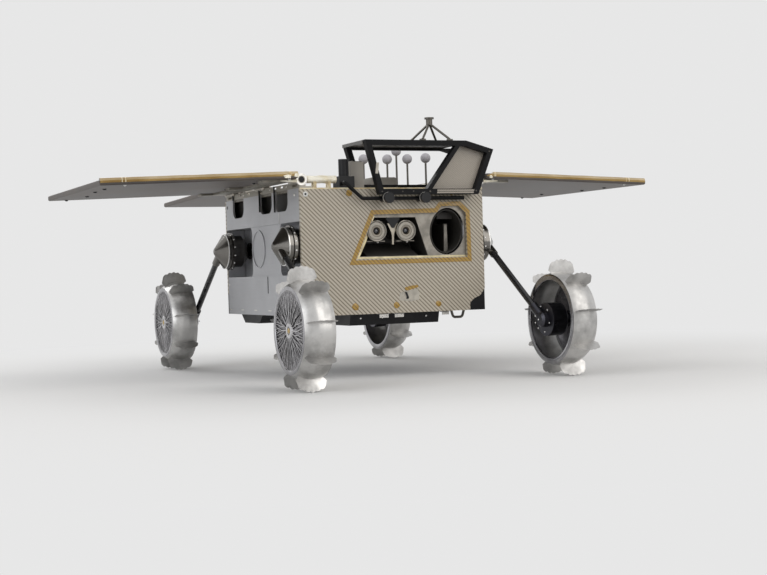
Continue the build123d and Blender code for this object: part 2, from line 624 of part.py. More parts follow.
def knuckle_arm(along):
    """One knuckle and its arm, for a hinge along Y at the left edge."""
    half = KNUCKLE_LENGTH / 2
    high = HINGE_Z + WING_ABOVE_HINGE
    arm = box(HINGE_X, HINGE_X + ARM_REACH, along - half, along + half, high - ARM_THICKNESS, high)
    start = (HINGE_X, along - half, HINGE_Z)
    arm += rod(start, (0, 1, 0), KNUCKLE_RADIUS, KNUCKLE_LENGTH)
    return arm - rod((HINGE_X, along - half - 1, HINGE_Z), (0, 1, 0), HINGE_PIN_RADIUS + RUNNING_GAP,
                     KNUCKLE_LENGTH + 2)


def end_station(end, from_face):
    """The y of something that is tied to the front face (end -1) or the rear face (end 1)."""
    return end * (HALF_LENGTH - from_face)


def root_doubler():
    """The plate under the left wing's root, from arm to arm."""
    root = HINGE_X + WING_ROOT_GAP
    high = HINGE_Z + WING_ABOVE_HINGE
    return box(root, root + DOUBLER_WIDTH, FRONT + DOUBLER_SET_BACK, HALF_LENGTH - DOUBLER_SET_BACK,
               high - ARM_THICKNESS, high)


def hinge_rail(stations):
    """The angle along the deck's left edge: a low foot and a slotted flange, open at each knuckle."""
    outer = HALF_WIDTH - 0.5
    foot_top = BODY_HEIGHT + HINGE_FOOT_THICKNESS
    top = BODY_HEIGHT + RAIL_HEIGHT
    near = FRONT + RAIL_SET_BACK
    rail = box(outer - LUG_POST_WIDTH, outer, near, -near, BODY_HEIGHT, foot_top)
    rail += box(outer - RAIL_THICKNESS, outer, near, -near, foot_top, top)
    reach = KNUCKLE_LENGTH / 2 + HINGE_PLAY
    for along in stations:
        rail -= box(outer - LUG_POST_WIDTH, outer + 1, along - reach, along + reach, foot_top, top + 1)
    length, height = RAIL_SLOT
    middle = (foot_top + top) / 2
    for end, from_face in RAIL_SLOT_STATIONS:
        along = end_station(end, from_face)
        rail -= box(outer - LUG_POST_WIDTH, outer + 1, along - length / 2, along + length / 2,
                    middle - height / 2, middle + height / 2)
    return rail


def hinge_lugs(stations):
    """The feet, lugs and hollow pins of a hinge along Y at the left edge, at every station."""
    reach = KNUCKLE_LENGTH / 2 + HINGE_PLAY + LUG_LENGTH
    foot_top = BODY_HEIGHT + HINGE_FOOT_THICKNESS
    outer = HALF_WIDTH - 0.5
    lugs = []
    for along in stations:
        lug = box(outer - HINGE_FOOT_WIDTH, outer, along - reach, along + reach, BODY_HEIGHT, foot_top)
        lug += rod((HINGE_X, along - reach, HINGE_Z), (0, 1, 0), HINGE_PIN_RADIUS, 2 * reach)
        for start in (along - reach, along + reach - LUG_LENGTH):
            lug += rod((HINGE_X, start, HINGE_Z), (0, 1, 0), KNUCKLE_RADIUS, LUG_LENGTH)
            lug += box(outer - LUG_POST_WIDTH, outer, start, start + LUG_LENGTH, BODY_HEIGHT, HINGE_Z)
        lug -= rod((HINGE_X, along - reach - 1, HINGE_Z), (0, 1, 0), HINGE_PIN_BORE, 2 * reach + 2)
        lugs.append(lug)
    return Compound(lugs)


def to_rear(shape):
    """Move a piece of the left hinge to the back edge, where the hinge runs along X."""
    return Pos(0, HINGE_Y, 0) * Rot(0, 0, 90) * Pos(-HINGE_X, 0, 0) * shape


def rear_wing_panel():
    root = HINGE_Y + REAR_WING_ROOT_GAP
    low = HINGE_Z + WING_ABOVE_HINGE
    half = REAR_WING_WIDTH / 2
    panel = box(-half, half, root, root + REAR_WING_LENGTH, low, low + WING_THICKNESS)
    panel = fillet(panel.edges().filter_by(Axis.Z, reverse=True), WING_EDGE_RADIUS)
    return about_hinge(panel, 0, REAR_WING_DROOP)


def rig_frame(y_low, y_high, foot):
    """A frame of square tube in the outline of the rig, its lower bar at the given height."""
    upper = (RIG_TOP_RIGHT, RIG_TOP_LEFT, RIG_SHOULDER)
    corners = [(x_corner, BODY_HEIGHT + above) for x_corner, above in upper]
    outer = face_of((*corners, (RIG_FOOT_LEFT[0], foot), (RIG_FOOT_RIGHT[0], foot)))
    inner = offset(outer, -RIG_BAR, kind=Kind.INTERSECTION)
    return extrude(Plane.XZ.offset(-y_high) * (outer - inner), y_high - y_low)


def rig_front_frame():
    frame = rig_frame(RIG_FRONT, RIG_FRAME_BACK, RIG_FOOT)
    brace = ((BRACE_TOP_X - RIG_BAR, RIG_TOP - 1), (BRACE_TOP_X, RIG_TOP - 1),
             (BRACE_FOOT_X, RIG_FOOT + 1), (BRACE_FOOT_X - RIG_BAR, RIG_FOOT + 1))
    return frame + slab_y(brace, RIG_FRONT, RIG_FRAME_BACK)


def rig_rear_frame():
    low = RIG_TOP - RIG_PLATE_THICKNESS
    frame = rig_frame(RIG_BACK - RIG_TUBE, RIG_BACK, BODY_HEIGHT)
    back = RIG_BACK + 1
    return frame - box(-HALF_WIDTH, HALF_WIDTH * 2, RIG_BACK - RIG_TUBE - 1, back, low, low + RIG_TUBE)


def rig_top_plate():
    return box(RIG_TOP_RIGHT[0], RIG_TOP_LEFT[0], RIG_FRAME_BACK, RIG_BACK,
               RIG_TOP - RIG_PLATE_THICKNESS, RIG_TOP)


def rig_gusset():
    """The twill plate seated behind the front frame, between the brace and the left-hand leg."""
    top = RIG_TOP - RIG_PLATE_THICKNESS - GUSSET_INSIDE / 2
    shoulder = (RIG_SHOULDER[0] - 1.5 * GUSSET_INSIDE, BODY_HEIGHT + RIG_SHOULDER[1] - 1.5 * GUSSET_INSIDE)
    outline = ((BRACE_TOP_X - GUSSET_INSIDE, top), (RIG_TOP_LEFT[0], top), shoulder,
               (RIG_FOOT_LEFT[0] - GUSSET_INSIDE, RIG_FOOT + GUSSET_INSIDE),
               (BRACE_FOOT_X - GUSSET_INSIDE, RIG_FOOT + GUSSET_INSIDE))
    return slab_y(outline, RIG_FRAME_BACK, RIG_FRAME_BACK + GUSSET_THICKNESS)


def rig_clamps():
    """Two round clamps on the front panel's face, under the rig's lower bar."""
    clamps = []
    for x_middle in CLAMPS:
        clamp = rod((x_middle, FRONT, CLAMP_HEIGHT), (0, -1, 0), CLAMP_STUB_RADIUS, FRONT - RIG_FRONT)
        clamp += rod((x_middle, RIG_FRONT, CLAMP_HEIGHT), (0, -1, 0), CLAMP_RADIUS, CLAMP_DISC_THICKNESS)
        clamp -= rod((x_middle - CLAMP_RADIUS, FRONT - TIE_ROD_SET_OFF, CLAMP_HEIGHT), (1, 0, 0),
                     TIE_ROD_RADIUS + RUNNING_GAP, 2 * CLAMP_RADIUS)
        clamps.append(clamp)
    return Compound(clamps)


def rig_tie_rod():
    """The bent rod through both clamps: up at its right-hand end and back over the deck."""
    y_rod = FRONT - TIE_ROD_SET_OFF
    high = BODY_HEIGHT + TIE_ROD_ABOVE_DECK
    path = FilletPolyline((TIE_ROD_START, y_rod, CLAMP_HEIGHT), (TIE_ROD_BEND, y_rod, CLAMP_HEIGHT),
                          (TIE_ROD_TOP, y_rod, high),
                          (SOCKET_X - 2 * TIE_ROD_RADIUS, SOCKET_Y - SOCKET_BASE / 2, high),
                          radius=TIE_ROD_BEND_RADIUS)
    return sweep(Plane(origin=path @ 0, z_dir=path % 0) * Circle(TIE_ROD_RADIUS), path=path)


def lifting_tripod():
    """The small pyramid on the rig's plate, with a threaded eye plate at its top."""
    x_middle = TRIPOD_MIDDLE[0]
    y_middle = RIG_FRONT + TRIPOD_MIDDLE[1]
    top = RIG_TOP + TRIPOD_HEIGHT
    eye_low = top - EYE_LENGTH
    shape = rod((x_middle, y_middle, eye_low), (0, 0, 1), EYE_PLATE_RADIUS * 2 / 3, EYE_LENGTH)
    shape += rod((x_middle, y_middle, top - EYE_PLATE_THICKNESS), (0, 0, 1), EYE_PLATE_RADIUS,
                 EYE_PLATE_THICKNESS)
    apex = Vector(x_middle, y_middle, eye_low + EYE_PLATE_THICKNESS)
    for x_side in (-1, 1):
        for y_side in (-1, 1):
            foot = Vector(x_middle + x_side * TRIPOD_HALF, y_middle + y_side * TRIPOD_HALF,
                          RIG_TOP + TRIPOD_FOOT)
            leg = apex - foot
            shape += rod(tuple(foot), tuple(leg), TRIPOD_LEG_RADIUS, leg.length)
            shape += rod((foot.X, foot.Y, RIG_TOP), (0, 0, 1), 2 * TRIPOD_FOOT, TRIPOD_FOOT)
    return shape - rod((x_middle, y_middle, top - EYE_BORE_DEPTH), (0, 0, 1), EYE_BORE_RADIUS,
                       EYE_BORE_DEPTH + 1)


def marker_stems():
    stems = []
    for x_middle, from_front, height in MARKERS:
        foot = (x_middle, FRONT + from_front, BODY_HEIGHT)
        stem = rod(foot, (0, 0, 1), MARKER_STEM_RADIUS, height - MARKER_RADIUS + MARKER_SEAT)
        stem += rod(foot, (0, 0, 1), MARKER_FOOT_RADIUS, MARKER_FOOT_HEIGHT)
        stems.append(stem)
    return Compound(stems)


def marker_balls():
    balls = []
    for x_middle, from_front, height in MARKERS:
        y_middle = FRONT + from_front
        low = BODY_HEIGHT + height - MARKER_RADIUS
        ball = Pos(x_middle, y_middle, BODY_HEIGHT + height) * Sphere(MARKER_RADIUS)
        ball -= rod((x_middle, y_middle, low - 1), (0, 0, 1), MARKER_STEM_RADIUS + RUNNING_GAP,
                    MARKER_SEAT + 1 + RUNNING_GAP)
        balls.append(ball)
    return Compound(balls)


def deck_boxes():
    return Compound([box(start - HALF_WIDTH, end - HALF_WIDTH, FRONT + near, FRONT + far,
                         BODY_HEIGHT, BODY_HEIGHT + height)
                     for start, end, near, far, height in DECK_BOXES])


def deck_tube():
    """A short tube along the deck's front edge, in two saddles."""
    start, end = (inwards - HALF_WIDTH for inwards in DECK_TUBE_ENDS)
    y_tube = FRONT + DECK_TUBE_FROM_FRONT
    middle = BODY_HEIGHT + DECK_TUBE_HEIGHT
    bore = DECK_TUBE_RADIUS - DECK_TUBE_WALL
    tube = rod((start, y_tube, middle), (1, 0, 0), DECK_TUBE_RADIUS, end - start)
    for x_saddle in (start + 2 * SADDLE_LENGTH, end - 3 * SADDLE_LENGTH):
        tube += box(x_saddle, x_saddle + SADDLE_LENGTH, y_tube - DECK_TUBE_RADIUS,
                    y_tube + DECK_TUBE_RADIUS, BODY_HEIGHT, middle)
    return tube - rod((start - 1, y_tube, middle), (1, 0, 0), bore, end - start + 2)


def umbilical_socket():
    """The block and the round socket that the ground cable plugs in."""
    half = SOCKET_BASE / 2
    base_top = BODY_HEIGHT + SOCKET_BASE_HEIGHT
    top = BODY_HEIGHT + SOCKET_HEIGHT
    shape = box(SOCKET_X - half, SOCKET_X + half, SOCKET_Y - half, SOCKET_Y + half, BODY_HEIGHT, base_top)
    shape += rod((SOCKET_X, SOCKET_Y, base_top), (0, 0, 1), SOCKET_RADIUS, top - base_top)
    return shape - rod((SOCKET_X, SOCKET_Y, top - SOCKET_BORE_DEPTH), (0, 0, 1), SOCKET_BORE_RADIUS,
                       SOCKET_BORE_DEPTH + 1)


def tapered_unit(x_low, x_high, near, far, depth, draw):
    """A unit under the belly, its lower edges drawn in at the front and back."""
    outline = ((FRONT + near, 0), (FRONT + far, 0), (FRONT + far - draw, -depth),
               (FRONT + near + draw, -depth))
    return slab_x(outline, x_low, x_high)


def side_pods():
    outer = HALF_WIDTH - POD_SET_IN
    pod = tapered_unit(outer - POD_WIDTH, outer, *POD_REACH, POD_DEPTH, POD_DRAW)
    return Compound([pod, mirror(pod, about=Plane.YZ)])


def belly_skid():
    """A small loop of rod below the front left corner."""
    x_middle = HALF_WIDTH - SKID_FROM_LEFT_WALL
    y_middle = FRONT + SKID_FROM_FRONT
    half = SKID_WIDTH / 2 - SKID_ROD_RADIUS
    low = SKID_ROD_RADIUS - SKID_DEPTH
    foot = half - SKID_DRAW
    path = FilletPolyline((x_middle - half, y_middle, 1), (x_middle - foot, y_middle, low),
                          (x_middle + foot, y_middle, low), (x_middle + half, y_middle, 1),
                          radius=SKID_BEND_RADIUS)
    loop = sweep(Plane(origin=path @ 0, z_dir=path % 0) * Circle(SKID_ROD_RADIUS), path=path)
    return loop - box(x_middle - SKID_WIDTH, x_middle + SKID_WIDTH, y_middle - SKID_WIDTH,
                      y_middle + SKID_WIDTH, 0, SKID_DEPTH)


def service_block():
    """The heavy inner module, as one plain block on the belly."""
    half = HALF_WIDTH - SERVICE_SET_IN
    return box(-half, half, FRONT + SERVICE_FROM_FRONT, HALF_LENGTH - SERVICE_FROM_REAR,
               BELLY_THICKNESS, BELLY_THICKNESS + SERVICE_HEIGHT)


def build_body():
    parts["front_panel"] = front_panel()
    parts["rear_panel"] = rear_panel()
    parts["side_wall_left"] = side_wall()
    parts["side_wall_right"] = mirror(side_wall(), about=Plane.YZ)
    parts["deck"] = deck()
    parts["belly"] = belly()
    parts["corner_brackets"] = corner_brackets()
    parts["service_block"] = service_block()
    parts["bezel"] = bezel()
    parts["camera_bay"] = camera_bay()
    for name, across in CAMERAS:
        parts["camera_" + name] = camera(WINDOW_X + across)
    parts["view_tube"] = view_tube()
    parts["belly_units"] = Compound([tapered_unit(*unit) for unit in BELLY_UNITS])
    parts["side_pods"] = side_pods()
    parts["belly_skid"] = belly_skid()


def build_running_gear():
    pieces = (("shoulder", shoulder_mount()), ("shoulder_cap", shoulder_cap()), ("leg_tube", leg_tube()),
              ("wheel_drive", wheel_drive()), ("wheel", wheel()))
    for corner, side, end in CORNERS:
        for name, shape in pieces:
            parts[name + "_" + corner] = at_corner(shape, side, end)


def build_wings():
    stations = [end_station(end, from_face) for end, from_face in SIDE_HINGE_STATIONS]
    arms = root_doubler()
    lugs = hinge_rail(stations)
    for along in stations:
        arms += knuckle_arm(along)
    for lug in hinge_lugs(stations):
        lugs += lug
    left_arms = about_hinge(arms, 1, WING_DROOP)
    panel = wing_panel()
    for name, side in (("left", 1), ("right", -1)):
        parts["wing_" + name] = at_corner(panel, side, -1)
        parts["wing_arms_" + name] = at_corner(left_arms, side, -1)
        parts["wing_hinge_" + name] = at_corner(lugs, side, -1)
    rear_arms = to_rear(Compound([knuckle_arm(along) for along in REAR_HINGE_STATIONS]))
    parts["wing_rear"] = rear_wing_panel()
    parts["wing_arms_rear"] = about_hinge(rear_arms, 0, REAR_WING_DROOP)
    parts["wing_hinge_rear"] = to_rear(hinge_lugs(REAR_HINGE_STATIONS))


def build_rig():
    parts["rig_front_frame"] = rig_front_frame()
    parts["rig_rear_frame"] = rig_rear_frame()
    parts["rig_top_plate"] = rig_top_plate()
    parts["rig_gusset"] = rig_gusset()
    parts["rig_clamps"] = rig_clamps()
    parts["rig_tie_rod"] = rig_tie_rod()
    parts["lifting_tripod"] = lifting_tripod()
    parts["marker_stems"] = marker_stems()
    parts["marker_balls"] = marker_balls()
    parts["deck_boxes"] = deck_boxes()
    parts["deck_tube"] = deck_tube()
    parts["umbilical_socket"] = umbilical_socket()


build_body()
build_running_gear()
build_wings()
build_rig()

# The origin is the middle of the footprint, on the ground under the blades' tips
whole = Compound(list(parts.values())).bounding_box()
GROUND = Pos(0, -(whole.min.Y + whole.max.Y) / 2, -whole.min.Z)

os.makedirs("parts", exist_ok=True)
for name, shape in parts.items():
    export_step(GROUND * shape, "parts/" + name + ".step")
print("middle of the belly's underside:", GROUND.position)
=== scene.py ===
from math import cos, pi, radians, sin

import bmesh
import bpy
from mathutils import Matrix, Vector, noise


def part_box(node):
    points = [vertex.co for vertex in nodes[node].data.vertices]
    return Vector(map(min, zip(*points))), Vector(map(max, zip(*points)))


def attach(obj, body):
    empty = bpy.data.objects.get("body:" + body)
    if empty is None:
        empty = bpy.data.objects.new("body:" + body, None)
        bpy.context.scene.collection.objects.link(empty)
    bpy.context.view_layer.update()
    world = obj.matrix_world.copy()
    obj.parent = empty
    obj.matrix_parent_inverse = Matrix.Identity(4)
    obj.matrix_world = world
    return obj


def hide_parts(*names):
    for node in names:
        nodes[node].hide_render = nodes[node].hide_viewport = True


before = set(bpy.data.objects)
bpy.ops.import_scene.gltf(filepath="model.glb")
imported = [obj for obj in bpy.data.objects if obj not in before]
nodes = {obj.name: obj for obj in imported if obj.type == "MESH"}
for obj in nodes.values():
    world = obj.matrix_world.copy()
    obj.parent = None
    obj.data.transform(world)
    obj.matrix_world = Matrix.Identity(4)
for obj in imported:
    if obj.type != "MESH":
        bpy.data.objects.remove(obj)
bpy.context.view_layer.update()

# Front and rear plates
# Each is a cured twill laminate of pale and dark tows. The weave's diagonals run down to the
# right as one faces a plate. Both plates are screwed to the walls' and the deck's edges.

MM = 0.001
belly_low, belly_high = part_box("belly")
BODY = Vector((0.0, (belly_low.y + belly_high.y) / 2, belly_low.z))
front_low, front_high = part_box("front_panel")
FRONT = front_low.y
HALF_WIDTH = front_high.x


def mm(x, y, z):
    return Vector((x, y, z)) * MM


def at(x, y, z):
    """A point given in millimetres from the middle of the belly's underside."""
    return BODY + mm(x, y, z)


class Value:
    """A socket in a material's node tree that takes part in ordinary arithmetic."""

    def __init__(self, tree, socket):
        self.tree = tree
        self.socket = socket

    def math(self, operation, *others):
        node = self.tree.nodes.new("ShaderNodeMath")
        node.operation = operation
        for place, term in zip(node.inputs, (self, *others)):
            if isinstance(term, Value):
                self.tree.links.new(term.socket, place)
            else:
                place.default_value = term
        return Value(self.tree, node.outputs[0])

    def __add__(self, other):
        return self.math("ADD", other)

    __radd__ = __add__

    def __sub__(self, other):
        return self.math("SUBTRACT", other)

    def __rsub__(self, other):
        return self * -1.0 + other

    def __mul__(self, other):
        return self.math("MULTIPLY", other)

    __rmul__ = __mul__

    def __truediv__(self, other):
        return self.math("DIVIDE", other)

    def __mod__(self, other):
        return self.math("FLOORED_MODULO", other)

    def __lt__(self, other):
        return self.math("LESS_THAN", other)

    def __gt__(self, other):
        return self.math("GREATER_THAN", other)

    def floor(self):
        return self.math("FLOOR")

    def size(self):
        return self.math("ABSOLUTE")

    def sine(self):
        return self.math("SINE")

    def most(self, other):
        return self.math("MAXIMUM", other)


class Shading:
    """The node tree of a material or of the world, and a method that adds any node to it."""

    def __init__(self, owner, shader, sockets):
        owner.use_nodes = True
        self.tree = owner.node_tree
        self.shader = self.tree.nodes[shader]
        self.feed(self.shader, sockets)

    def feed(self, node, sockets):
        for name, term in sockets.items():
            if isinstance(term, Value):
                self.tree.links.new(term.socket, node.inputs[name])
            else:
                node.inputs[name].default_value = term

    def node(self, kind, settings, sockets, output=0):
        """Adds a node, sets it up, joins its sockets and returns one of its outputs."""
        node = self.tree.nodes.new(kind)
        for name, setting in settings.items():
            setattr(node, name, setting)
        self.feed(node, sockets)
        return Value(self.tree, node.outputs[output])

    def seen(self):
        """1 for the rays from the camera and from mirrors, and 0 for those that only light."""
        rays = [self.node("ShaderNodeLightPath", {}, {}, kind) for kind in ("Is Camera Ray", "Is Glossy Ray")]
        return rays[0].most(rays[1])

    def point(self):
        """The point on the piece, in metres."""
        return self.node("ShaderNodeTexCoord", {}, {}, "Object")

    def axes(self):
        """That point's x, y and z by their letters."""
        point = self.point()
        return {axis: self.node("ShaderNodeSeparateXYZ", {}, {0: point}, axis) for axis in "XYZ"}

    def clouds(self, scale, detail=3.0, roughness=0.55, stretch=None):
        """Soft noise from 0 to 1. The scale is in cycles a metre."""
        point = self.point()
        if stretch:
            point = self.node("ShaderNodeMapping", {}, {"Vector": point, "Scale": stretch})
        sockets = {"Vector": point, "Scale": scale, "Detail": detail, "Roughness": roughness}
        return self.node("ShaderNodeTexNoise", {}, sockets)

    def mix(self, share, first, second):
        settings = {"data_type": "RGBA"}
        return self.node("ShaderNodeMix", settings, {0: share, 6: first, 7: second}, 2)

    def ramp(self, value, low, high):
        """0 below low and 1 above high, with a soft step between."""
        settings = {"interpolation_type": "SMOOTHSTEP"}
        return self.node("ShaderNodeMapRange", settings, {"Value": value, "From Min": low, "From Max": high})


class Finish(Shading):
    """A material."""

    def __init__(self, name, sockets):
        self.material = bpy.data.materials.new(name)
        super().__init__(self.material, "Principled BSDF", sockets)

    def shade(self, sockets):
        self.feed(self.shader, sockets)
        return self.material

    def look(self, colour, roughness, relief, depth, strength=1.0):
        """Relief runs from 0 to 1 and stands for a depth in millimetres."""
        sockets = {"Height": relief, "Distance": depth * MM, "Strength": strength}
        normal = self.node("ShaderNodeBump", {}, sockets)
        return self.shade({"Base Color": colour, "Roughness": roughness, "Normal": normal})


def rgb(red, green, blue, share=1.0):
    """A colour for a socket, darkened to a share of itself."""
    return (share * red, share * green, share * blue, 1.0)


def twill(name, across, up, tow, pale, dark, shine=0.25):
    """A 2/2 twill laminate whose tows follow two axes. tow holds their widths in millimetres."""
    finish = Finish(name, {"Coat Weight": shine, "Coat Roughness": 0.16})
    axes = finish.axes()
    waver = (finish.clouds(9.0, 2.0) - 0.5) * (1.2 * MM)
    u = (axes[across] + waver) / (tow[0] * MM)
    v = (axes[up] + waver) / (tow[1] * MM)
    over = (u.floor() + v.floor()) % 4.0 < 2.0
    slant = ((u + v) % 4.0 - 2.0).size() / 2.0
    crown_u = 1.0 - ((u % 1.0) * 2.0 - 1.0).size().math("POWER", 3.0)
    crown_v = 1.0 - ((v % 1.0) * 2.0 - 1.0).size().math("POWER", 3.0)
    crown = over * crown_u + (1.0 - over) * crown_v
    stripe = finish.ramp(slant * 0.72 + over * 0.28, 0.30, 0.52)
    cloud = finish.clouds(14.0, 4.0)
    grain = finish.clouds(900.0, 2.0)
    light = finish.mix(cloud * 0.5, rgb(*pale), rgb(*pale, 0.86))
    deep = finish.mix(grain * 0.6, rgb(*dark), rgb(*dark, 1.5))
    colour = finish.mix(stripe * (0.82 + grain * 0.3), deep, light)
    roughness = 0.34 + cloud * 0.16 + (1.0 - stripe) * 0.08
    return finish.look(colour, roughness, crown * 0.7 + stripe * 0.3, 0.12, 0.8)


def dress(material, *names):
    """Gives CAD nodes their finish."""
    for name in names:
        for place in nodes[name].material_slots:
            place.material = material


TOW = (2.05, 2.0)
PLATE_PALE = (0.60, 0.545, 0.45)
PLATE_DARK = (0.14, 0.112, 0.075)
plate_twill = twill("twill_plate", "X", "Z", TOW, PLATE_PALE, PLATE_DARK)
dress(plate_twill, "front_panel", "rear_panel")

# Deck and gusset
# The deck is the same laminate, laid flat. The rig's gusset is a finer and paler cut of it,
# and both keep the plates' satin resin face.

deck_twill = twill("twill_deck", "X", "Y", (2.05, 2.05), (0.30, 0.27, 0.22), (0.09, 0.075, 0.05))
dress(deck_twill, "deck")
gusset_twill = twill("twill_gusset", "X", "Z", (0.9, 0.9), (0.50, 0.45, 0.385), (0.24, 0.21, 0.17))
dress(gusset_twill, "rig_gusset")

# Amber tape
# Amber polyimide tape frames the window and covers the plate's screws. It is clear enough that
# the weave shows through, and it is pressed down by hand, so it is never quite flat.


def mesh_of(name, shape):
    """The mesh of a bmesh, which is let go."""
    mesh = bpy.data.meshes.new(name)
    shape.to_mesh(mesh)
    shape.free()
    return mesh


def add_object(name, contents):
    thing = bpy.data.objects.new(name, contents)
    bpy.context.scene.collection.objects.link(thing)
    return thing


def piece(name, shape, material, body="chassis", crease=35):
    """Makes an object of a bmesh, shades it, and lets it ride on a body."""
    mesh = mesh_of(name, shape)
    mesh.shade_smooth()
    mesh.set_sharp_from_angle(angle=radians(crease))
    mesh.materials.append(material)
    thing = add_object(name, mesh)
    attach(thing, body)
    return thing


def outline_face(points, y):
    """A bmesh with one upright face whose corners are (x, z) points in millimetres."""
    shape = bmesh.new()
    corners = [shape.verts.new((at(x, 0, 0).x, y, at(0, 0, z).z)) for x, z in points]
    shape.faces.new(corners)
    return shape


def thicken(shape, step):
    """Draws a sheet out to a slab by a step, and returns the vertices that moved."""
    grown = bmesh.ops.extrude_face_region(shape, geom=list(shape.faces))
    moved = [item for item in grown["geom"] if isinstance(item, bmesh.types.BMVert)]
    bmesh.ops.translate(shape, verts=moved, vec=step)
    bmesh.ops.recalc_face_normals(shape, faces=shape.faces)
    return moved


# Outline of the tape round the window, as x and z in millimetres
TAPE_OUTLINE = ((-92.4, 90.5), (-46.3, 190.5), (83.9, 193.0), (93.3, 205.0), (137.0, 205.6),
                (157.0, 187.5), (158.5, 92.0))
TAPE_WIDTH = 8.2
TAPE_PROUD = 0.4 * MM
TAPE_WRINKLE = 0.5 * MM
amber_tape = twill("amber_tape", "X", "Z", TOW, (0.46, 0.275, 0.032), (0.165, 0.085, 0.009), 0.7)


def window_tape():
    shape = outline_face(TAPE_OUTLINE, FRONT)
    shape.normal_update()
    rim = bmesh.ops.inset_region(shape, faces=list(shape.faces), thickness=TAPE_WIDTH * MM,
                                 use_even_offset=True, use_boundary=True)
    middle = [face for face in shape.faces if face not in rim["faces"]]
    bmesh.ops.delete(shape, geom=middle, context="FACES")
    bmesh.ops.subdivide_edges(shape, edges=list(shape.edges), cuts=9, use_grid_fill=True)
    thicken(shape, (0, -TAPE_PROUD, 0))
    for vert in shape.verts:
        if vert.co.y < FRONT - TAPE_PROUD / 2:
            vert.co.y -= TAPE_WRINKLE * abs(noise.noise(vert.co * 140))
    return shape


piece("window_tape", window_tape(), amber_tape)

# Columns: x and z of each screw on the front plate, and the radius of its tape in millimetres
TAPED_SCREWS = ((-83.0, 14.0, 6.6), (0.0, 14.5, 6.0), (86.0, 14.0, 5.8), (-89.0, 222.0, 6.0),
                (120.0, 222.0, 4.8))
AHEAD = (0, -1, 0)


def buttons(*rows, wrinkle=0.0, sides=16):
    """Shallow caps, such as screws' heads, from rows of centre, normal, radius and height."""
    shape = bmesh.new()
    for centre, normal, radius, height in rows:
        made = bmesh.ops.create_uvsphere(shape, u_segments=sides, v_segments=8, radius=1.0)
        turn = Vector((0, 0, 1)).rotation_difference(Vector(normal)).to_matrix()
        for vert in made["verts"]:
            swell = 1.0 + wrinkle * noise.noise(vert.co * 4 + centre * 50)
            flat = mm(vert.co.x * radius * swell, vert.co.y * radius * swell, vert.co.z * height)
            vert.co = turn @ flat + centre
    return shape


def on_plate(x, z):
    """A point on the front plate's face, in millimetres."""
    return Vector((at(x, 0, 0).x, FRONT, at(0, 0, z).z))


screw_tapes = buttons(*((on_plate(x, z), AHEAD, radius, 1.0) for x, z, radius in TAPED_SCREWS),
                      wrinkle=0.25, sides=20)
piece("plate_screw_tapes", screw_tapes, amber_tape)

# Foil
# Thin metallised film, crumpled by hand and glued over edges, fittings and the deck's tube.
# It is painted pale gold where light would meet it and brown for the shade in its folds, in random patches.


def foil(name, colour, fold_shade_colour, crinkle, roughness, depth=1.1, patches=70.0):
    """Crumpled film. crinkle and patches are in cycles a metre, depth in millimetres."""
    finish = Finish(name, {"Metallic": 0.85})
    fold = finish.node("ShaderNodeTexVoronoi", {"feature": "F1"}, {"Scale": crinkle}, "Distance")
    cloud = finish.clouds(patches, 4.0)
    # Painted light and shade: pale patches stand for lit film, brown ones for shaded folds.
    shade = finish.mix(finish.ramp(cloud, 0.28, 0.66), rgb(*fold_shade_colour), rgb(*colour))
    return finish.look(shade, roughness + cloud * 0.22, fold * 0.6 + cloud * 0.4, depth, 0.9)


pale_foil = foil("pale_foil", (0.95, 0.86, 0.64), (0.66, 0.50, 0.26), 200.0, 0.32)
bright_foil = foil("bright_foil", (0.96, 0.92, 0.80), (0.80, 0.71, 0.50), 160.0, 0.26, 0.6, 40.0)


def strip(start, end, width, thickness, cuts=0, crumple=0.0):
    """A flat strip from start to end. Its width and thickness are vectors."""
    shape = bmesh.new()
    shape.faces.new([shape.verts.new(corner) for corner in (start, end, end + width, start + width)])
    long_edges = [edge for edge in shape.edges if edge.calc_length() > width.length * 1.5]
    if cuts:
        bmesh.ops.subdivide_edges(shape, edges=long_edges, cuts=cuts, use_grid_fill=True)
    for vert in thicken(shape, thickness):
        vert.co += thickness.normalized() * crumple * abs(noise.noise(vert.co * 110))
    return shape


EDGE_FILM_HEIGHT = 2.6
film_start, film_end = (Vector((x, FRONT, front_high.z)) - mm(0, 0, EDGE_FILM_HEIGHT)
                        for x in (-HALF_WIDTH, HALF_WIDTH))
edge_film = strip(film_start, film_end, mm(0, 0, EDGE_FILM_HEIGHT), mm(0, -0.3, 0), 80, 0.4 * MM)
piece("plate_edge_film", edge_film, pale_foil)
dress(pale_foil, "deck_tube")

# Window, camera tray and viewing tube
# The bezel is a dull bead-blasted plate with a pale lip, a real edge whose paleness is a painted highlight.
# The tray and the oval tube behind it are blackened metal, so that no light strays into the cameras.


def matt_black(name, colour, roughness, speckle, shine=0.28):
    finish = Finish(name, {"Specular IOR Level": shine})
    grain = finish.clouds(700.0, 2.0)
    cloud = finish.clouds(25.0, 4.0)
    shade = finish.mix(cloud, rgb(*colour), rgb(*colour, speckle))
    return finish.look(shade, roughness + cloud * 0.18, grain, 0.05, 0.6)


tray_black = matt_black("tray_black", (0.028, 0.026, 0.024), 0.42, 1.9)
dress(tray_black, "camera_bay")
fitting_black = matt_black("fitting_black", (0.006, 0.006, 0.007), 0.30, 2.4)
dress(fitting_black, "corner_brackets", "rig_clamps", "umbilical_socket", "belly_units", "side_pods")


def blasted_metal(name, colour, roughness):
    finish = Finish(name, {"Metallic": 0.7})
    cloud = finish.clouds(45.0, 5.0, 0.65)
    grain = finish.clouds(1400.0, 2.0)
    shade = finish.mix(finish.ramp(cloud, 0.3, 0.7), rgb(*colour), rgb(*colour, 0.62))
    return finish.look(shade, roughness + cloud * 0.2, grain, 0.06, 0.7)


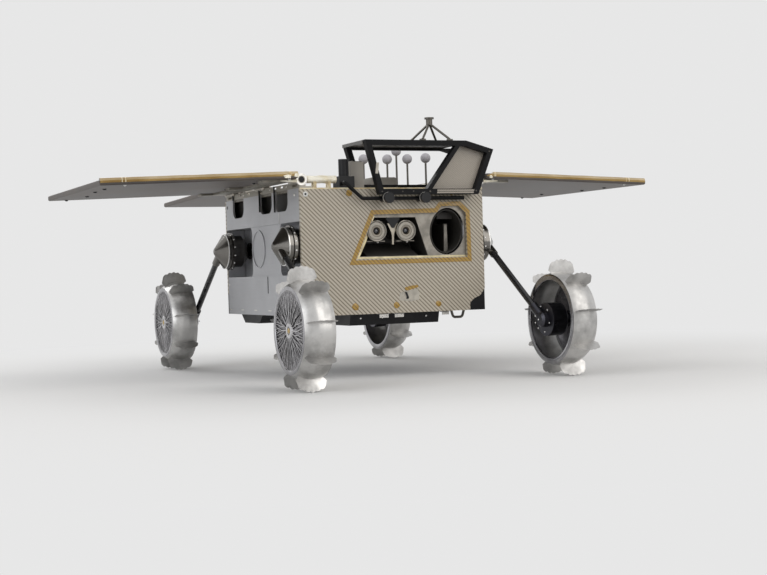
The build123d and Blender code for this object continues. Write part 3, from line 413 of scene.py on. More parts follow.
bezel_grey = blasted_metal("bezel_grey", (0.36, 0.335, 0.295), 0.40)
dress(bezel_grey, "bezel")
tube_dark = matt_black("tube_dark", (0.030, 0.028, 0.025), 0.45, 1.7)
dress(tube_dark, "view_tube")
painted_lip_highlight = blasted_metal("painted_lip_highlight", (0.80, 0.70, 0.44), 0.34)
bright_metal = blasted_metal("bright_metal", (0.86, 0.84, 0.80), 0.22)
web_metal = blasted_metal("web_metal", (0.50, 0.455, 0.38), 0.42)
bar_metal = blasted_metal("bar_metal", (0.23, 0.215, 0.19), 0.40)


def upright(points, y, thickness):
    """A slab from its outline in x and z, with its front face at y, all in millimetres."""
    shape = outline_face(points, at(0, y, 0).y + thickness * MM)
    thicken(shape, (0, -thickness * MM, 0))
    return shape


def join(shapes):
    """Puts several bmeshes together."""
    whole = bmesh.new()
    for shape in shapes:
        mesh = mesh_of("part", shape)
        whole.from_mesh(mesh)
        bpy.data.meshes.remove(mesh)
    return whole


BEZEL_FACE = -211.9
# The lip's pale colour is a painted highlight on the tray's front edge.
LIP_LEFT = ((-76.4, 101.6), (-71.0, 101.6), (-54.6, 134.0), (-51.4, 145.0), (-45.0, 163.0), (-36.6, 180.0),
            (-39.8, 181.4))
LIP_FOOT = ((-76.4, 101.4), (150.4, 101.4), (150.4, 104.6), (-74.9, 104.6))
window_lip = [upright(LIP_LEFT, BEZEL_FACE - 0.5, 0.5), upright(LIP_FOOT, BEZEL_FACE - 0.7, 0.7)]
piece("window_lip", join(window_lip), painted_lip_highlight)

# The dark guard between the cameras, the grey funnel behind it and its thin stem
GUARD = ((-13.5, 179.0), (13.5, 179.0), (13.5, 173.5), (2.2, 157.5), (-2.2, 157.5), (-13.5, 173.5))
WEB = ((-11.0, 166.0), (11.0, 166.0), (3.4, 149.5), (1.8, 144.0), (0.8, 127.0), (-2.4, 127.0),
       (-2.2, 144.0), (-3.4, 149.5))
piece("camera_guard", upright(GUARD, BEZEL_FACE + 0.1, 1.6), fitting_black)
piece("camera_web", upright(WEB, BEZEL_FACE + 0.9, 1.4), web_metal)

# The ledge under each camera, at the ramp's top, with the bright screw that clamps the barrel
LEDGES = (-34.5, 25.0)
LEDGE = ((-18.0, 132.6), (18.0, 132.6), (18.0, 133.8), (-18.0, 133.8))
ledges = [upright([(middle + x, z) for x, z in LEDGE], BEZEL_FACE + 1.4, 9.0) for middle in LEDGES]
piece("camera_ledges", join(ledges), bezel_grey)
ledge_screws = buttons(*((at(x + 3, BEZEL_FACE + 1.1, 132.2), (0, -1, 0.4), 2.4, 2.2) for x in LEDGES))
piece("camera_ledge_screws", ledge_screws, bright_metal)

# The lit face of the bar inside the oval tube, and the shade over it
BAR = ((115.2, 104.0), (124.2, 104.0), (122.8, 163.4), (117.8, 163.4))
BAR_FACE = -187.6
TUBE_SHADE = ((101.0, 174.0), (134.0, 174.0), (131.0, 186.5), (104.0, 186.5))
SHADE_FACE = -190.0
piece("tube_bar_face", upright(BAR, BAR_FACE, 0.8), bar_metal)
piece("tube_shade", upright(TUBE_SHADE, SHADE_FACE, 3.0), tray_black)

# Camera
# Each camera is turned from one bar: a dark anodised outer ring, a pale stepped face, and a
# small glass lens in a black cell. The inner step and the cup round the lens are darker metal,
# painted shade for their recess.

ALONG_X = (1, 0, 0)


def middle_of(node):
    low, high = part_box(node)
    return (low + high) / 2


def placed(shape, matrix):
    """Moves a shape, and keeps its faces outward where that mirrors it."""
    bmesh.ops.transform(shape, matrix=matrix, verts=shape.verts)
    if matrix.determinant() < 0:
        bmesh.ops.reverse_faces(shape, faces=list(shape.faces))
    return shape


def lathe(profile, centre, axis, segments=64):
    """Turns a line of (along, radius) points, in millimetres, about an axis."""
    shape = bmesh.new()
    corners = [shape.verts.new((along * MM, 0, radius * MM)) for along, radius in profile]
    line = [shape.edges.new(pair) for pair in zip(corners, corners[1:])]
    bmesh.ops.spin(shape, geom=corners + line, cent=(0, 0, 0), axis=ALONG_X, angle=2 * pi,
                   steps=segments, use_merge=True)
    bmesh.ops.remove_doubles(shape, verts=shape.verts, dist=1e-6)
    bmesh.ops.recalc_face_normals(shape, faces=shape.faces)
    turn = Vector(ALONG_X).rotation_difference(Vector(axis)).to_matrix().to_4x4()
    return placed(shape, Matrix.Translation(centre) @ turn)


def turned_metal(name, colour, roughness, centre, axes, pitch=0.35, metallic=1.0):
    """Metal from a lathe: fine rings about a centre, seen along the axis that is left out."""
    finish = Finish(name, {"Metallic": metallic})
    axis = finish.axes()
    first = axis[axes[0]] - centre[0]
    second = axis[axes[1]] - centre[1]
    radius = (first * first + second * second).math("SQRT")
    ring = (radius * (2 * pi / (pitch * MM))).sine() * 0.5 + 0.5
    cloud = finish.clouds(70.0, 4.0)
    shade = finish.mix(cloud * 0.6 + ring * 0.2, rgb(*colour), rgb(*colour, 0.6))
    return finish.look(shade, roughness + cloud * 0.16, ring * 0.5 + cloud * 0.5, 0.04, 0.5)


# Outlines of the camera's nose, as (distance ahead of its rearmost face, radius) in millimetres
CAMERA_BARREL = ((0, 0), (0, 14.4), (74.5, 14.4), (74.8, 19.4), (76.0, 20.3), (78.6, 20.3), (80.2, 19.8),
                 (80.9, 18.4), (80.4, 16.9), (79.2, 16.2), (76.2, 15.8), (76.2, 0))
CAMERA_FACE = ((78.4, 16.2), (79.2, 16.2), (80.0, 15.8), (80.2, 14.6), (79.6, 14.2), (79.6, 13.7),
               (80.1, 13.3), (80.1, 11.4), (78.4, 11.4), (78.4, 16.2))
CAMERA_STEP = ((78.0, 11.4), (80.1, 11.4), (79.0, 11.0), (79.0, 10.4), (79.7, 10.0), (79.5, 7.2),
               (78.0, 7.2), (78.0, 11.4))
CAMERA_CUP = ((76.6, 7.2), (79.5, 7.2), (78.4, 6.8), (77.4, 5.6), (76.6, 5.6), (76.6, 7.2))
CAMERA_CELL = ((76.4, 0), (76.4, 5.6), (77.4, 5.6), (78.0, 5.2), (78.2, 4.4), (76.8, 4.0), (76.8, 0))
CAMERA_GLASS = ((76.85, 0), (76.9, 3.9), (77.5, 3.1), (77.9, 1.8), (78.05, 0))
lens_glass = Finish("lens_glass", {"Base Color": rgb(0.012, 0.012, 0.02), "Roughness": 0.04,
                                   "Coat Weight": 1.0, "Coat Roughness": 0.02}).material
lens_black = matt_black("lens_black", (0.010, 0.010, 0.010), 0.35, 1.5)
for side in ("right", "left"):
    back = middle_of("camera_" + side)
    back.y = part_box("camera_" + side)[1].y
    middle = (back.x, back.z)
    ring_metal = turned_metal("camera_ring_" + side, (0.27, 0.25, 0.22), 0.17, middle, "XZ")
    face_metal = turned_metal("camera_face_" + side, (0.50, 0.465, 0.405), 0.34, middle, "XZ", 0.8, 0.45)
    # Painted shade: the step and the cup are darker than the face, for the shade in the recess round the
    # lens.
    step_shade_metal = turned_metal("camera_step_" + side, (0.31, 0.28, 0.235), 0.30, middle, "XZ", 0.8, 0.6)
    cup_shade_metal = turned_metal("camera_cup_" + side, (0.13, 0.10, 0.065), 0.30, middle, "XZ", 0.5, 0.6)
    turnings = (("barrel", CAMERA_BARREL, ring_metal, "camera_metal"),
                ("face", CAMERA_FACE, face_metal, "camera_metal"),
                ("step", CAMERA_STEP, step_shade_metal, "camera_metal"),
                ("cup", CAMERA_CUP, cup_shade_metal, "camera_metal"),
                ("cell", CAMERA_CELL, lens_black, "black_fittings"),
                ("glass", CAMERA_GLASS, lens_glass, "dark_tube"))
    for name, profile, material, slot in turnings:
        turning = lathe(profile, back, AHEAD)
        turned = piece("camera_" + name + "_" + side, turning, material)
        if name == "barrel":
            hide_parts("camera_" + side)

# Sleeve
# A length of the bright film is wrapped loosely round the deck's tube and its saddles, where
# they stand nearest the front.

tube_low, tube_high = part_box("deck_tube")
TUBE_HEIGHT = 247.5
SLEEVE_END = -168.0
SLEEVE_LENGTH = 56.0
SLEEVE_RADIUS = 7.0
SLEEVE_BORE = 4.5
SLEEVE_CRUMPLE = 0.9 * MM
sleeve_line = [(SLEEVE_LENGTH * i / 20, SLEEVE_RADIUS) for i in range(21)]
sleeve = lathe([(0, SLEEVE_BORE), *sleeve_line, (SLEEVE_LENGTH, SLEEVE_BORE), (0, SLEEVE_BORE)],
               at(SLEEVE_END, 0, TUBE_HEIGHT), ALONG_X, 40)
for vert in sleeve.verts:
    vert.co.z += SLEEVE_CRUMPLE * noise.noise(vert.co * 150)
    vert.co.y += (tube_low.y + tube_high.y) / 2 - BODY.y + SLEEVE_CRUMPLE * noise.noise(vert.co * 130)
piece("deck_tube_sleeve", sleeve, bright_foil, crease=50)

# Plate fittings
# A white nylon washer holds the plate's top corner, and a grey patch beside a slot covers the
# place where a connector comes through, with a tab of tape at its upper edge.

nylon = Finish("nylon", {})
nylon_cloud = nylon.clouds(300.0, 3.0)
nylon_mix = nylon.mix(nylon_cloud, rgb(0.86, 0.86, 0.84), rgb(0.74, 0.73, 0.70))
nylon_white = nylon.look(nylon_mix, 0.5, nylon_cloud, 0.05)
washer_place = on_plate(-174.0, 220.5)
WASHER = ((0, 1.9), (0, 4.8), (0.7, 4.6), (1.0, 4.0), (0.9, 2.2), (0, 1.9))
piece("plate_washer", lathe(WASHER, washer_place, AHEAD, 32), nylon_white)
piece("plate_washer_screw", buttons((washer_place, AHEAD, 2.1, 0.7)), fitting_black)

PLATE_FACE = -218.0
PATCH = ((6.0, 23.0), (30.0, 20.5), (46.0, 23.0), (47.5, 36.0), (43.0, 43.0), (24.0, 41.5), (7.0, 37.0))
SLOT = ((17.0, 38.0), (21.6, 38.0), (25.4, 28.0), (23.6, 25.0), (19.4, 25.6), (20.6, 29.5))
TAB = ((18.0, 41.5), (24.0, 41.0), (45.0, 46.5), (44.4, 50.5), (30.0, 49.6), (17.5, 46.5))
patch_grey = blasted_metal("patch_grey", (0.56, 0.525, 0.46), 0.5)
piece("plate_patch", upright(PATCH, PLATE_FACE - 0.3, 0.3), patch_grey)
piece("plate_slot", upright(SLOT, PLATE_FACE - 0.6, 0.3), fitting_black)
piece("plate_tab", upright(TAB, PLATE_FACE - 0.6, 0.6), amber_tape)

# Side walls
# Folded light alloy with a satin, slightly smudged skin. Screws and black posts hold it along
# the deck, and pale tabs tie it to the belly.


def satin_alloy(name, colour, roughness, metallic=0.85):
    finish = Finish(name, {"Metallic": metallic})
    cloud = finish.clouds(11.0, 5.0, 0.6)
    streak = finish.clouds(260.0, 2.0, stretch=(1.0, 0.06, 1.0))
    shade = finish.mix(cloud * 0.7 + streak * 0.2, rgb(*colour), rgb(*colour, 0.72))
    rough = roughness + cloud * 0.18 + streak * 0.06
    return finish.look(shade, rough, cloud * 0.4 + streak * 0.6, 0.05, 0.5)


wall_alloy = satin_alloy("wall_alloy", (0.56, 0.565, 0.585), 0.32, 0.55)
dress(wall_alloy, "side_wall_left", "side_wall_right", "belly")
box_grey = satin_alloy("box_grey", (0.46, 0.43, 0.385), 0.45, 0.3)
dress(box_grey, "deck_boxes", "service_block")

# Columns: y, lowest and highest z, and width of each black post on a wall
POSTS = ((163.5, 231.0, 243.0, 2.4), (0.5, 199.0, 243.0, 2.6), (-85.0, 194.5, 243.0, 3.0))
# Columns: y and z of each wall screw, and its radius
WALL_SCREWS = ((-190.5, 221.0, 2.8), (99.0, 237.5, 1.8), (60.0, 237.5, 1.6), (-60.0, 237.5, 1.6),
               (-150.0, 237.5, 1.6), (205.0, 60.0, 2.2), (205.0, 150.0, 2.2), (-205.0, 40.0, 2.2))
# Columns: y of each pale tab along a wall's foot
TABS = (201.0, 123.0, 43.0, -40.0, -118.0)
TAB_HALF = 8.0
# Lowest and highest y, then z, of the dark seam low on each wall and of the bright strip under its
# top, a step's edge given a painted highlight
WALL_SEAM = (-34.5, -31.5, 42.0, 74.0)
SEAM_HIGHLIGHT = (-106.6, -105.4, 172.5, 194.0)
# The y and z of the hole near each wall's rear top corner, drawn as a black disc of painted shade
WALL_HOLE = (204.0, 218.5)
# The shoulders' bays: half the way between their outer ends, floor, foot and height
BAY_END = 211.9
BAY_FLOOR = 145.6
BAY_FOOT = 75.3
BAY_HEIGHT = 96.4
SHEET = 0.4
SIDES = (("right", -1), ("left", 1))
WALL = 185.0
# How far a fitting's foot is let into the wall that it stands on
SEAT = 0.1
# The black screen behind the notches, which paints the shade inside them: half the way between
# the two, half its length, foot and height
SCREEN = 170.0
SCREEN_END = 208.0
SCREEN_FOOT = 175.0
SCREEN_HEIGHT = 53.0


def wall_slab(side, y_low, y_high, z_low, z_high, proud):
    """A thin plate on the outside of a wall, in millimetres."""
    start, end = (at(side * (WALL - SEAT), y, z_low) for y in (y_low, y_high))
    return strip(start, end, mm(0, 0, z_high - z_low), mm(side * (proud + SEAT), 0, 0))


for side_name, side in SIDES:
    posts = [wall_slab(side, y - width / 2, y + width / 2, low, high, 2.2) for y, low, high, width in POSTS]
    posts.append(wall_slab(side, *WALL_SEAM, 0.5))
    piece("wall_posts_" + side_name, join(posts), fitting_black)
    outward = (side, 0, 0)
    screws = buttons(*((at(side * WALL, y, z), outward, radius, 1.3) for y, z, radius in WALL_SCREWS))
    piece("wall_screws_" + side_name, screws, bright_metal)
    tabs = [wall_slab(side, y - TAB_HALF, y + TAB_HALF, 7.8, 10.0, 0.7) for y in TABS]
    # The bright strip is a painted highlight along the step under the wall's top.
    tabs.append(wall_slab(side, *SEAM_HIGHLIGHT, 0.6))
    piece("wall_tabs_" + side_name, join(tabs), bright_metal)
    # The hole is a black disc, painted shade for its inside.
    hole = buttons((at(side * (WALL - 0.2), *WALL_HOLE), outward, 4.2, 0.4))
    piece("wall_hole_shade_" + side_name, hole, fitting_black)
    liners = []
    for end, inward in ((-BAY_END, 1), (BAY_END, -1)):
        liners.append(strip(at(side * (WALL - 0.5), end, BAY_FOOT), at(side * BAY_FLOOR, end, BAY_FOOT),
                            mm(0, 0, BAY_HEIGHT), mm(0, inward * SHEET, 0)))
    piece("bay_liners_" + side_name, join(liners), wall_alloy)
    # Painted shade: a black sheet behind the notches darkens their inside.
    ends = (at(side * SCREEN, y, SCREEN_FOOT) for y in (-SCREEN_END, SCREEN_END))
    screen = strip(*ends, mm(0, 0, SCREEN_HEIGHT), mm(-side * SHEET, 0, 0))
    piece("notch_shadow_screen_" + side_name, screen, tray_black)

# Shoulders and caps
# Two polished dark forms, rim to rim: the inner drum stands in the wall's bay with small bolts
# round its flange, and the outer cap turns with the leg. A bright ring edges the cap.

CORNERS = ("front_left", "front_right", "rear_left", "rear_right")


def spokes(count, start=0.0):
    """Directions all round an axle that runs along x; start is a share of the step between two."""
    turns = [2 * pi * (index + start) / count for index in range(count)]
    return [Vector((0, sin(turn), cos(turn))) for turn in turns]


bright_ring = satin_alloy("bright_ring", (0.86, 0.85, 0.83), 0.14, 1.0)
FLANGE_BOLTS = 14
FLANGE = 192.0
FLANGE_RADIUS = 37.8
CAP_EDGE = ((202.6, 34.6), (203.0, 35.5), (204.2, 35.5), (204.6, 34.3), (203.6, 34.0), (202.6, 34.6))
CAP_TIP = ((224.4, 0), (224.4, 6.2), (225.0, 5.6), (225.0, 0))
for corner in CORNERS:
    middle = middle_of("shoulder_" + corner)
    side = 1 if middle.x > 0 else -1
    cone = turned_metal("cone_" + corner, (0.21, 0.20, 0.185), 0.10, (middle.y, middle.z), "YZ", 1.1)
    dress(cone, "shoulder_" + corner, "shoulder_cap_" + corner)
    axle = Vector((0, middle.y, middle.z))
    cap_trim = join([lathe(CAP_EDGE, axle, (side, 0, 0)), lathe(CAP_TIP, axle, (side, 0, 0), 32)])
    piece("cap_ring_" + corner, cap_trim, bright_ring, "leg_" + corner)
    bolts = []
    for out in spokes(FLANGE_BOLTS):
        bolts.append((axle + mm(side * FLANGE, 0, 0) + out * FLANGE_RADIUS * MM, out, 1.9, 1.2))
    piece("flange_bolts_" + corner, buttons(*bolts, sides=10), bright_ring)

# Legs
# Black laminate tubes with a glossy wound face, plugged on turned end pieces and pinned there.


def wound_tube(name):
    finish = Finish(name, {"Coat Weight": 0.5, "Coat Roughness": 0.08, "Specular IOR Level": 0.3})
    x, y, z = finish.axes().values()
    band = ((x + y + z) / (3.0 * MM)) % 2.0
    weave = finish.ramp((band - 1.0).size(), 0.35, 0.65)
    shade = finish.mix(weave, rgb(0.006, 0.006, 0.007), rgb(0.022, 0.022, 0.024))
    return finish.look(shade, 0.22 + weave * 0.12, weave, 0.03, 0.4)


leg_black = wound_tube("leg_black")
dress(leg_black, *("leg_tube_" + corner for corner in CORNERS))

# Wheel drives
# The round housings inside the wheels: dark anodised metal with bright screws round the cover.

DRIVE_RADIUS = 30.0
# Columns: x outward of the middle of the rover, circle, count and head radius in millimetres
DRIVE_SCREWS = ((202.0, 7.0, 3, 1.6), (215.0, 23.5, 6, 1.8))
for corner in CORNERS:
    middle = middle_of("wheel_drive_" + corner)
    middle.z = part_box("wheel_drive_" + corner)[0].z + DRIVE_RADIUS * MM
    side = 1 if middle.x > 0 else -1
    dress(turned_metal("drive_" + corner, (0.085, 0.085, 0.10), 0.22, (middle.y, middle.z), "YZ", 1.6),
          "wheel_drive_" + corner)
    screws = []
    for out_x, circle, count, head in DRIVE_SCREWS:
        for out in spokes(count, 0.25):
            spot = Vector((side * out_x * MM, middle.y, middle.z)) + out * circle * MM
            screws.append((spot, (-side, 0, 0), head, 1.1))
    piece("drive_screws_" + corner, buttons(*screws, sides=12), bright_ring, "leg_" + corner)

# Wheels
# Pressed and polished light alloy: a crowned tread open towards the body, nine fluted fan
# blades with scalloped tips, and an outer face of fine veins that branch from the hub.

WHEEL_HALF = 26.0
WHEEL_SIDES = 96
RIM_RADIUS = 81.0
CROWN_RADIUS = 85.0
FACE_RADIUS = 74.0
SKIN = 2.2
TREAD_STEPS = 32
TREAD_WAVE = 13.0
TREAD_RIPPLE = 0.09
# Where the tread is widest across, as x from its middle
CROWN_X = -2.0
BLADES = 9
BLADE_TIP = 108.0
BLADE_FALL = 8.0
BLADE_VALLEY = 2.0
BLADE_LOBES = 5
BLADE_FLUTE = 0.12
BLADE_THICKNESS = 1.2
# Half of a blade's width at its root, what it gains by half its height, and what it then loses
BLADE_HALF = (19.0, 8.0, 3.0)
VEIN_DEPTH = 1.4


def crown(x):
    """Radius of the tread's outside at x, in millimetres from the wheel's middle."""
    edge = RIM_RADIUS if x < CROWN_X else FACE_RADIUS
    reach = WHEEL_HALF + CROWN_X if x < CROWN_X else WHEEL_HALF - CROWN_X
    share = (x - CROWN_X) / reach
    return CROWN_RADIUS - (CROWN_RADIUS - edge) * share * share


def rings(*profiles):
    """Several rings turned about the wheel's axle."""
    return join([lathe(profile, Vector(), ALONG_X, WHEEL_SIDES) for profile in profiles])


def tread():
    """The crowned shell, faintly waved across its width, with its lip turned in at the open side."""
    steps = [-WHEEL_HALF + 2 * WHEEL_HALF * i / TREAD_STEPS for i in range(TREAD_STEPS + 1)]
    outside = [(x, crown(x) + TREAD_RIPPLE * (1 - cos(2 * pi * x / TREAD_WAVE))) for x in steps]
    inside = [(x, crown(x) - SKIN) for x in reversed(steps[1:])]
    lip = [(-WHEEL_HALF + SKIN, crown(-WHEEL_HALF) - SKIN), (-WHEEL_HALF + SKIN, 71.0),
           (-WHEEL_HALF, 70.5), (-WHEEL_HALF - 0.5, 72.0), (-WHEEL_HALF - 0.5, 79.6),
           (-WHEEL_HALF, crown(-WHEEL_HALF))]
    return rings(outside + inside + lip)


def blade():
    """One fan blade in the plane across the wheel, fluted towards its scalloped tip."""
    shape = bmesh.new()
    bmesh.ops.create_grid(shape, x_segments=40, y_segments=12, size=1.0)
    for vert in shape.verts:
        across = vert.co.x
        out = (vert.co.y + 1) / 2
        half = BLADE_HALF[0] + BLADE_HALF[1] * min(1.0, out * 2) - BLADE_HALF[2] * max(0.0, out * 2 - 1)
        x = across * half
        root = crown(max(-WHEEL_HALF, min(WHEEL_HALF, x))) - 1.0
        lobe = abs(sin((across + 1) / 2 * pi * BLADE_LOBES))
        tip = BLADE_TIP - BLADE_VALLEY * (1 - lobe) - BLADE_FALL * across * across
        flute = -cos((across + 1) * pi * BLADE_LOBES) * BLADE_FLUTE * out * out
        vert.co = mm(x, flute, root + (tip - root) * out)
    bmesh.ops.solidify(shape, geom=list(shape.faces), thickness=BLADE_THICKNESS * MM)
    return shape


def wheel_shell():
    fans = [placed(blade(), Matrix.Rotation(2 * pi / BLADES * index, 4, "X")) for index in range(BLADES)]
    return join([tread(), *fans])


VEIN_SECTORS = 20


def veins():
    """The leaf-like web, as runs of (radius, angle in sectors, thickness)."""
    runs = []
    for middle in range(VEIN_SECTORS):
        runs.append(((12.0, middle, 1.15), (24.0, middle, 1.0), (36.0, middle + 0.03, 0.95)))
        for side in (-1, 1):
            fork = middle + 0.03 + side * 0.2
            runs.append(((36.0, middle + 0.03, 0.95), (47.0, middle + side * 0.15, 0.8), (55.0, fork, 0.75)))
            for twig in (-1, 1):
                runs.append(((55.0, fork, 0.75), (62.0, fork + twig * 0.08, 0.65),
                             (71.5, fork + twig * 0.125, 0.65)))
        runs.append(((24.0, middle, 0.75), (31.0, middle + 0.28, 0.7), (44.0, middle + 0.5, 0.65),
                     (57.0, middle + 0.47, 0.6), (71.5, middle + 0.53, 0.6)))
        for ring, reach in ((30.0, 0.5), (43.0, 0.36), (51.0, 0.3), (64.0, 0.3)):
            runs.append(((ring, middle - reach / 2, 0.5), (ring + 3.0, middle + reach / 2, 0.5)))
    return runs


def web():
    """The web's veins as half-round bars in the wheel's outer face."""
    curve = bpy.data.curves.new("veins", "CURVE")
    curve.dimensions = "3D"
    curve.bevel_depth = MM
    curve.bevel_resolution = 1
    curve.resolution_u = 3
    curve.use_fill_caps = True
    for run in veins():
        line = curve.splines.new("POLY")
        line.points.add(len(run) - 1)
        for point, (radius, angle, thick) in zip(line.points, run):
            turn = angle * 2 * pi / VEIN_SECTORS
            point.co = (*mm(WHEEL_HALF - VEIN_DEPTH, radius * sin(turn), radius * cos(turn)), 1)
            point.radius = thick
    holder = bpy.data.objects.new("veins", curve)
    mesh = bpy.data.meshes.new_from_object(holder)
    shape = bmesh.new()
    shape.from_mesh(mesh)
    bpy.data.objects.remove(holder)
    bpy.data.curves.remove(curve)
    bpy.data.meshes.remove(mesh)
    return shape


OUTER_RIM = ((23.2, 66.5), (25.0, 66.2), (26.4, 68.0), (26.6, 72.6), (26.0, 74.1), (23.4, 74.0), (23.2, 66.5))
INNER_RIM = ((-23.6, 70.6), (-26.4, 70.4), (-26.9, 71.6), (-26.8, 79.6), (-26.2, 80.8), (-23.6, 79.0),
             (-23.6, 70.6))
HUB = ((24.0, 0), (24.0, 8.2), (8.0, 8.2), (8.0, 14.0), (24.0, 14.0), (26.4, 12.6), (26.4, 7.2),
       (25.0, 6.8), (25.0, 0))
# A thin dark disc behind the veins; its darkness is painted shade for the wheel's hollow inside.
BACKING = ((22.6, 13.6), (22.6, 67.5), (23.0, 67.5), (23.0, 13.6), (22.6, 13.6))
AXLE_SCREW = ((24.8, 0), (24.8, 4.6), (26.4, 4.4), (26.9, 3.2), (26.9, 1.8), (25.9, 1.5), (25.9, 0))


def polished_alloy(name, colour, deep, low, high, dents=0.5):
    """Polished metal with soft smears, whose darker patches are also painted reflection: deep is the share of
    the colour its darker areas keep.
    """
    finish = Finish(name, {"Metallic": 1.0})
    smear_and_reflection = finish.clouds(24.0, 5.0, 0.62)
    fine = finish.clouds(420.0, 3.0, 0.6)
    # The darker patches are painted reflection of a dark room as well as smears.
    share = finish.ramp(smear_and_reflection, 0.36, 0.66) * 0.85 + fine * 0.15
    shade = finish.mix(share, rgb(*colour), rgb(*colour, deep))
    rough = finish.ramp(smear_and_reflection, 0.3, 0.75) * (high - low) + low + fine * 0.05
    return finish.look(shade, rough, smear_and_reflection * 0.94 + fine * 0.06, dents, 0.6)


shell_alloy = polished_alloy("shell_alloy", (0.615, 0.607, 0.594), 0.60, 0.28, 0.45, 0.3)
rim_alloy = polished_alloy("rim_alloy", (0.42, 0.415, 0.43), 0.6, 0.10, 0.22)
web_alloy = polished_alloy("web_alloy", (0.66, 0.65, 0.66), 0.5, 0.14, 0.28)
painted_shade_backing = polished_alloy("painted_shade_backing", (0.20, 0.195, 0.21), 0.4, 0.16, 0.34)
brass = satin_alloy("brass", (0.66, 0.50, 0.24), 0.22, 1.0)
for corner in CORNERS:
    middle = middle_of("wheel_" + corner)
    middle.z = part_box("wheel_" + corner)[1].z - BLADE_TIP * MM
    side = 1 if middle.x > 0 else -1
    place = Matrix.Translation(middle) @ Matrix.Scale(side, 4, ALONG_X)
    wheel_pieces = (("shell", wheel_shell(), shell_alloy), ("web", join([rings(HUB), web()]), web_alloy),
                    ("rims", rings(OUTER_RIM, INNER_RIM), rim_alloy),
                    ("backing", rings(BACKING), painted_shade_backing), ("screw", rings(AXLE_SCREW), brass))
    for name, shape, material in wheel_pieces:
        part = piece("wheel_" + name + "_" + corner, placed(shape, place), material,
                     "wheel_" + corner)
        if name == "shell":
            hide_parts("wheel_" + corner)

# Solar wings
# Sandwich panels with a dark skin below and cells on top. Foil is folded over the front edge
# and strapped near its ends. Arms with knuckles carry each panel on the deck's hinges.


def wing_skin(name):
    finish = Finish(name, {})
    cloud = finish.clouds(6.0, 4.0)
    fine = finish.clouds(500.0, 2.0)
    shade = finish.mix(finish.ramp(cloud, 0.3, 0.7), rgb(0.070, 0.060, 0.055), rgb(0.125, 0.104, 0.090))
    return finish.look(shade, 0.40 + cloud * 0.2, fine, 0.05, 0.5)


WING_DROOP = radians(2.0)
REAR_DROOP = radians(1.2)
HINGE_X = 180.0
HINGE_Z = 247.0
# The front end of the side hinges
HINGE_FRONT = -216.2
HINGE = at(HINGE_X, 213.0, HINGE_Z)


def drooped(hinge, angle, axis):
    """What turns a level wing about its hinge."""
    return Matrix.Translation(hinge) @ Matrix.Rotation(angle, 4, axis) @ Matrix.Translation(-hinge)


def solar_cells(name, across, along):
    """Dark cells in a grid with bright gaps and fine grid lines; sizes along both axes in millimetres."""
    finish = Finish(name, {"Coat Weight": 0.3, "Coat Roughness": 0.16, "Specular IOR Level": 0.3})
    axes = finish.axes()
    u = (axes["X"] / (across * MM)) % 1.0
    v = (axes["Y"] / (along * MM)) % 1.0
    gap = ((u - 0.5).size() > 0.483).most((v - 0.5).size() > 0.481)
    bus = ((u - 0.5).size() - 0.22).size() < 0.008
    comb = (axes["Y"] / (2.2 * MM)) % 1.0 < 0.12
    wires = (bus.most(comb * 0.35)) * (1.0 - gap)
    cloud = finish.clouds(20.0, 3.0)
    glass = finish.mix(cloud, rgb(0.007, 0.010, 0.035), rgb(0.013, 0.020, 0.065))
    wired = finish.mix(wires, glass, rgb(0.38, 0.38, 0.40))
    finish.shade({"Metallic": wires * 0.8})
    shade = finish.mix(gap, wired, rgb(0.24, 0.19, 0.10))
    return finish.look(shade, 0.20 + gap * 0.25 + cloud * 0.06, 1.0 - gap, 0.2, 0.7)


FILM_THICKNESS = 0.25
FILM_CRUMPLE = 0.9
FILM_WAVES = 26.0
MITRE_SLOPE = 0.42
# Share of its height that the film loses where it is pressed
PRESSED = 0.9
# A mitre so high that it cuts nothing
SQUARE_END = 99.0


def folded_film(length, profile, crumple, waves, mitre=SQUARE_END):
    """A film folded over an edge along x, from 0 to length; profile holds its y and z in millimetres.
    Above a slanting line that starts at mitre, the film is pressed flat."""
    shape = bmesh.new()
    bmesh.ops.create_grid(shape, x_segments=90, y_segments=len(profile) - 1, size=1.0)
    for vert in shape.verts:
        place = round((vert.co.y + 1) / 2 * (len(profile) - 1))
        y, z = profile[place]
        x = (vert.co.x + 1) / 2 * length
        z -= PRESSED * max(0.0, z - mitre - MITRE_SLOPE * x)
        swell = crumple * noise.noise(Vector((x / waves, y / 6, z / 6)))
        vert.co = mm(x, y - abs(swell) * 0.6, z + swell * 0.4)
    bmesh.ops.recalc_face_normals(shape, faces=shape.faces)
    bmesh.ops.solidify(shape, geom=list(shape.faces), thickness=FILM_THICKNESS * MM)
    return shape


# The wing's front edge, as y and z from its own front lower corner
EDGE_UPPER = ((8.0, 10.4), (6.0, 11.6), (2.8, 12.8), (0.9, 12.2), (-0.2, 10.8), (-0.45, 9.2), (-0.45, 8.2))
EDGE_LOWER = ((-0.45, 8.4), (-0.5, 7.4), (-0.45, 6.4), (-0.4, 5.6), (-0.3, 4.9), (0.3, 4.6))
WING_LOW = 248.5
WING_TOP = WING_LOW + 10.0
WING_ROOT = 190.5
WING_FRONT = -228.0
WING_LENGTH = 358.0
# Lowest and highest x, front y, height, depth and thickness of the sheets of cells
WING_CELLS = (WING_ROOT + 5.0, WING_ROOT + 353.0, -220.0, WING_TOP, 432.0, 0.5)
REAR_CELLS = (-208.0, 208.0, 252.5, WING_TOP, 322.0, 0.5)


def sheet(x_low, x_high, y, z, depth, thickness):
    """A level sheet from the ends of its front edge, in millimetres."""
    return strip(at(x_low, y, z), at(x_high, y, z), mm(0, depth, 0), mm(0, 0, thickness))


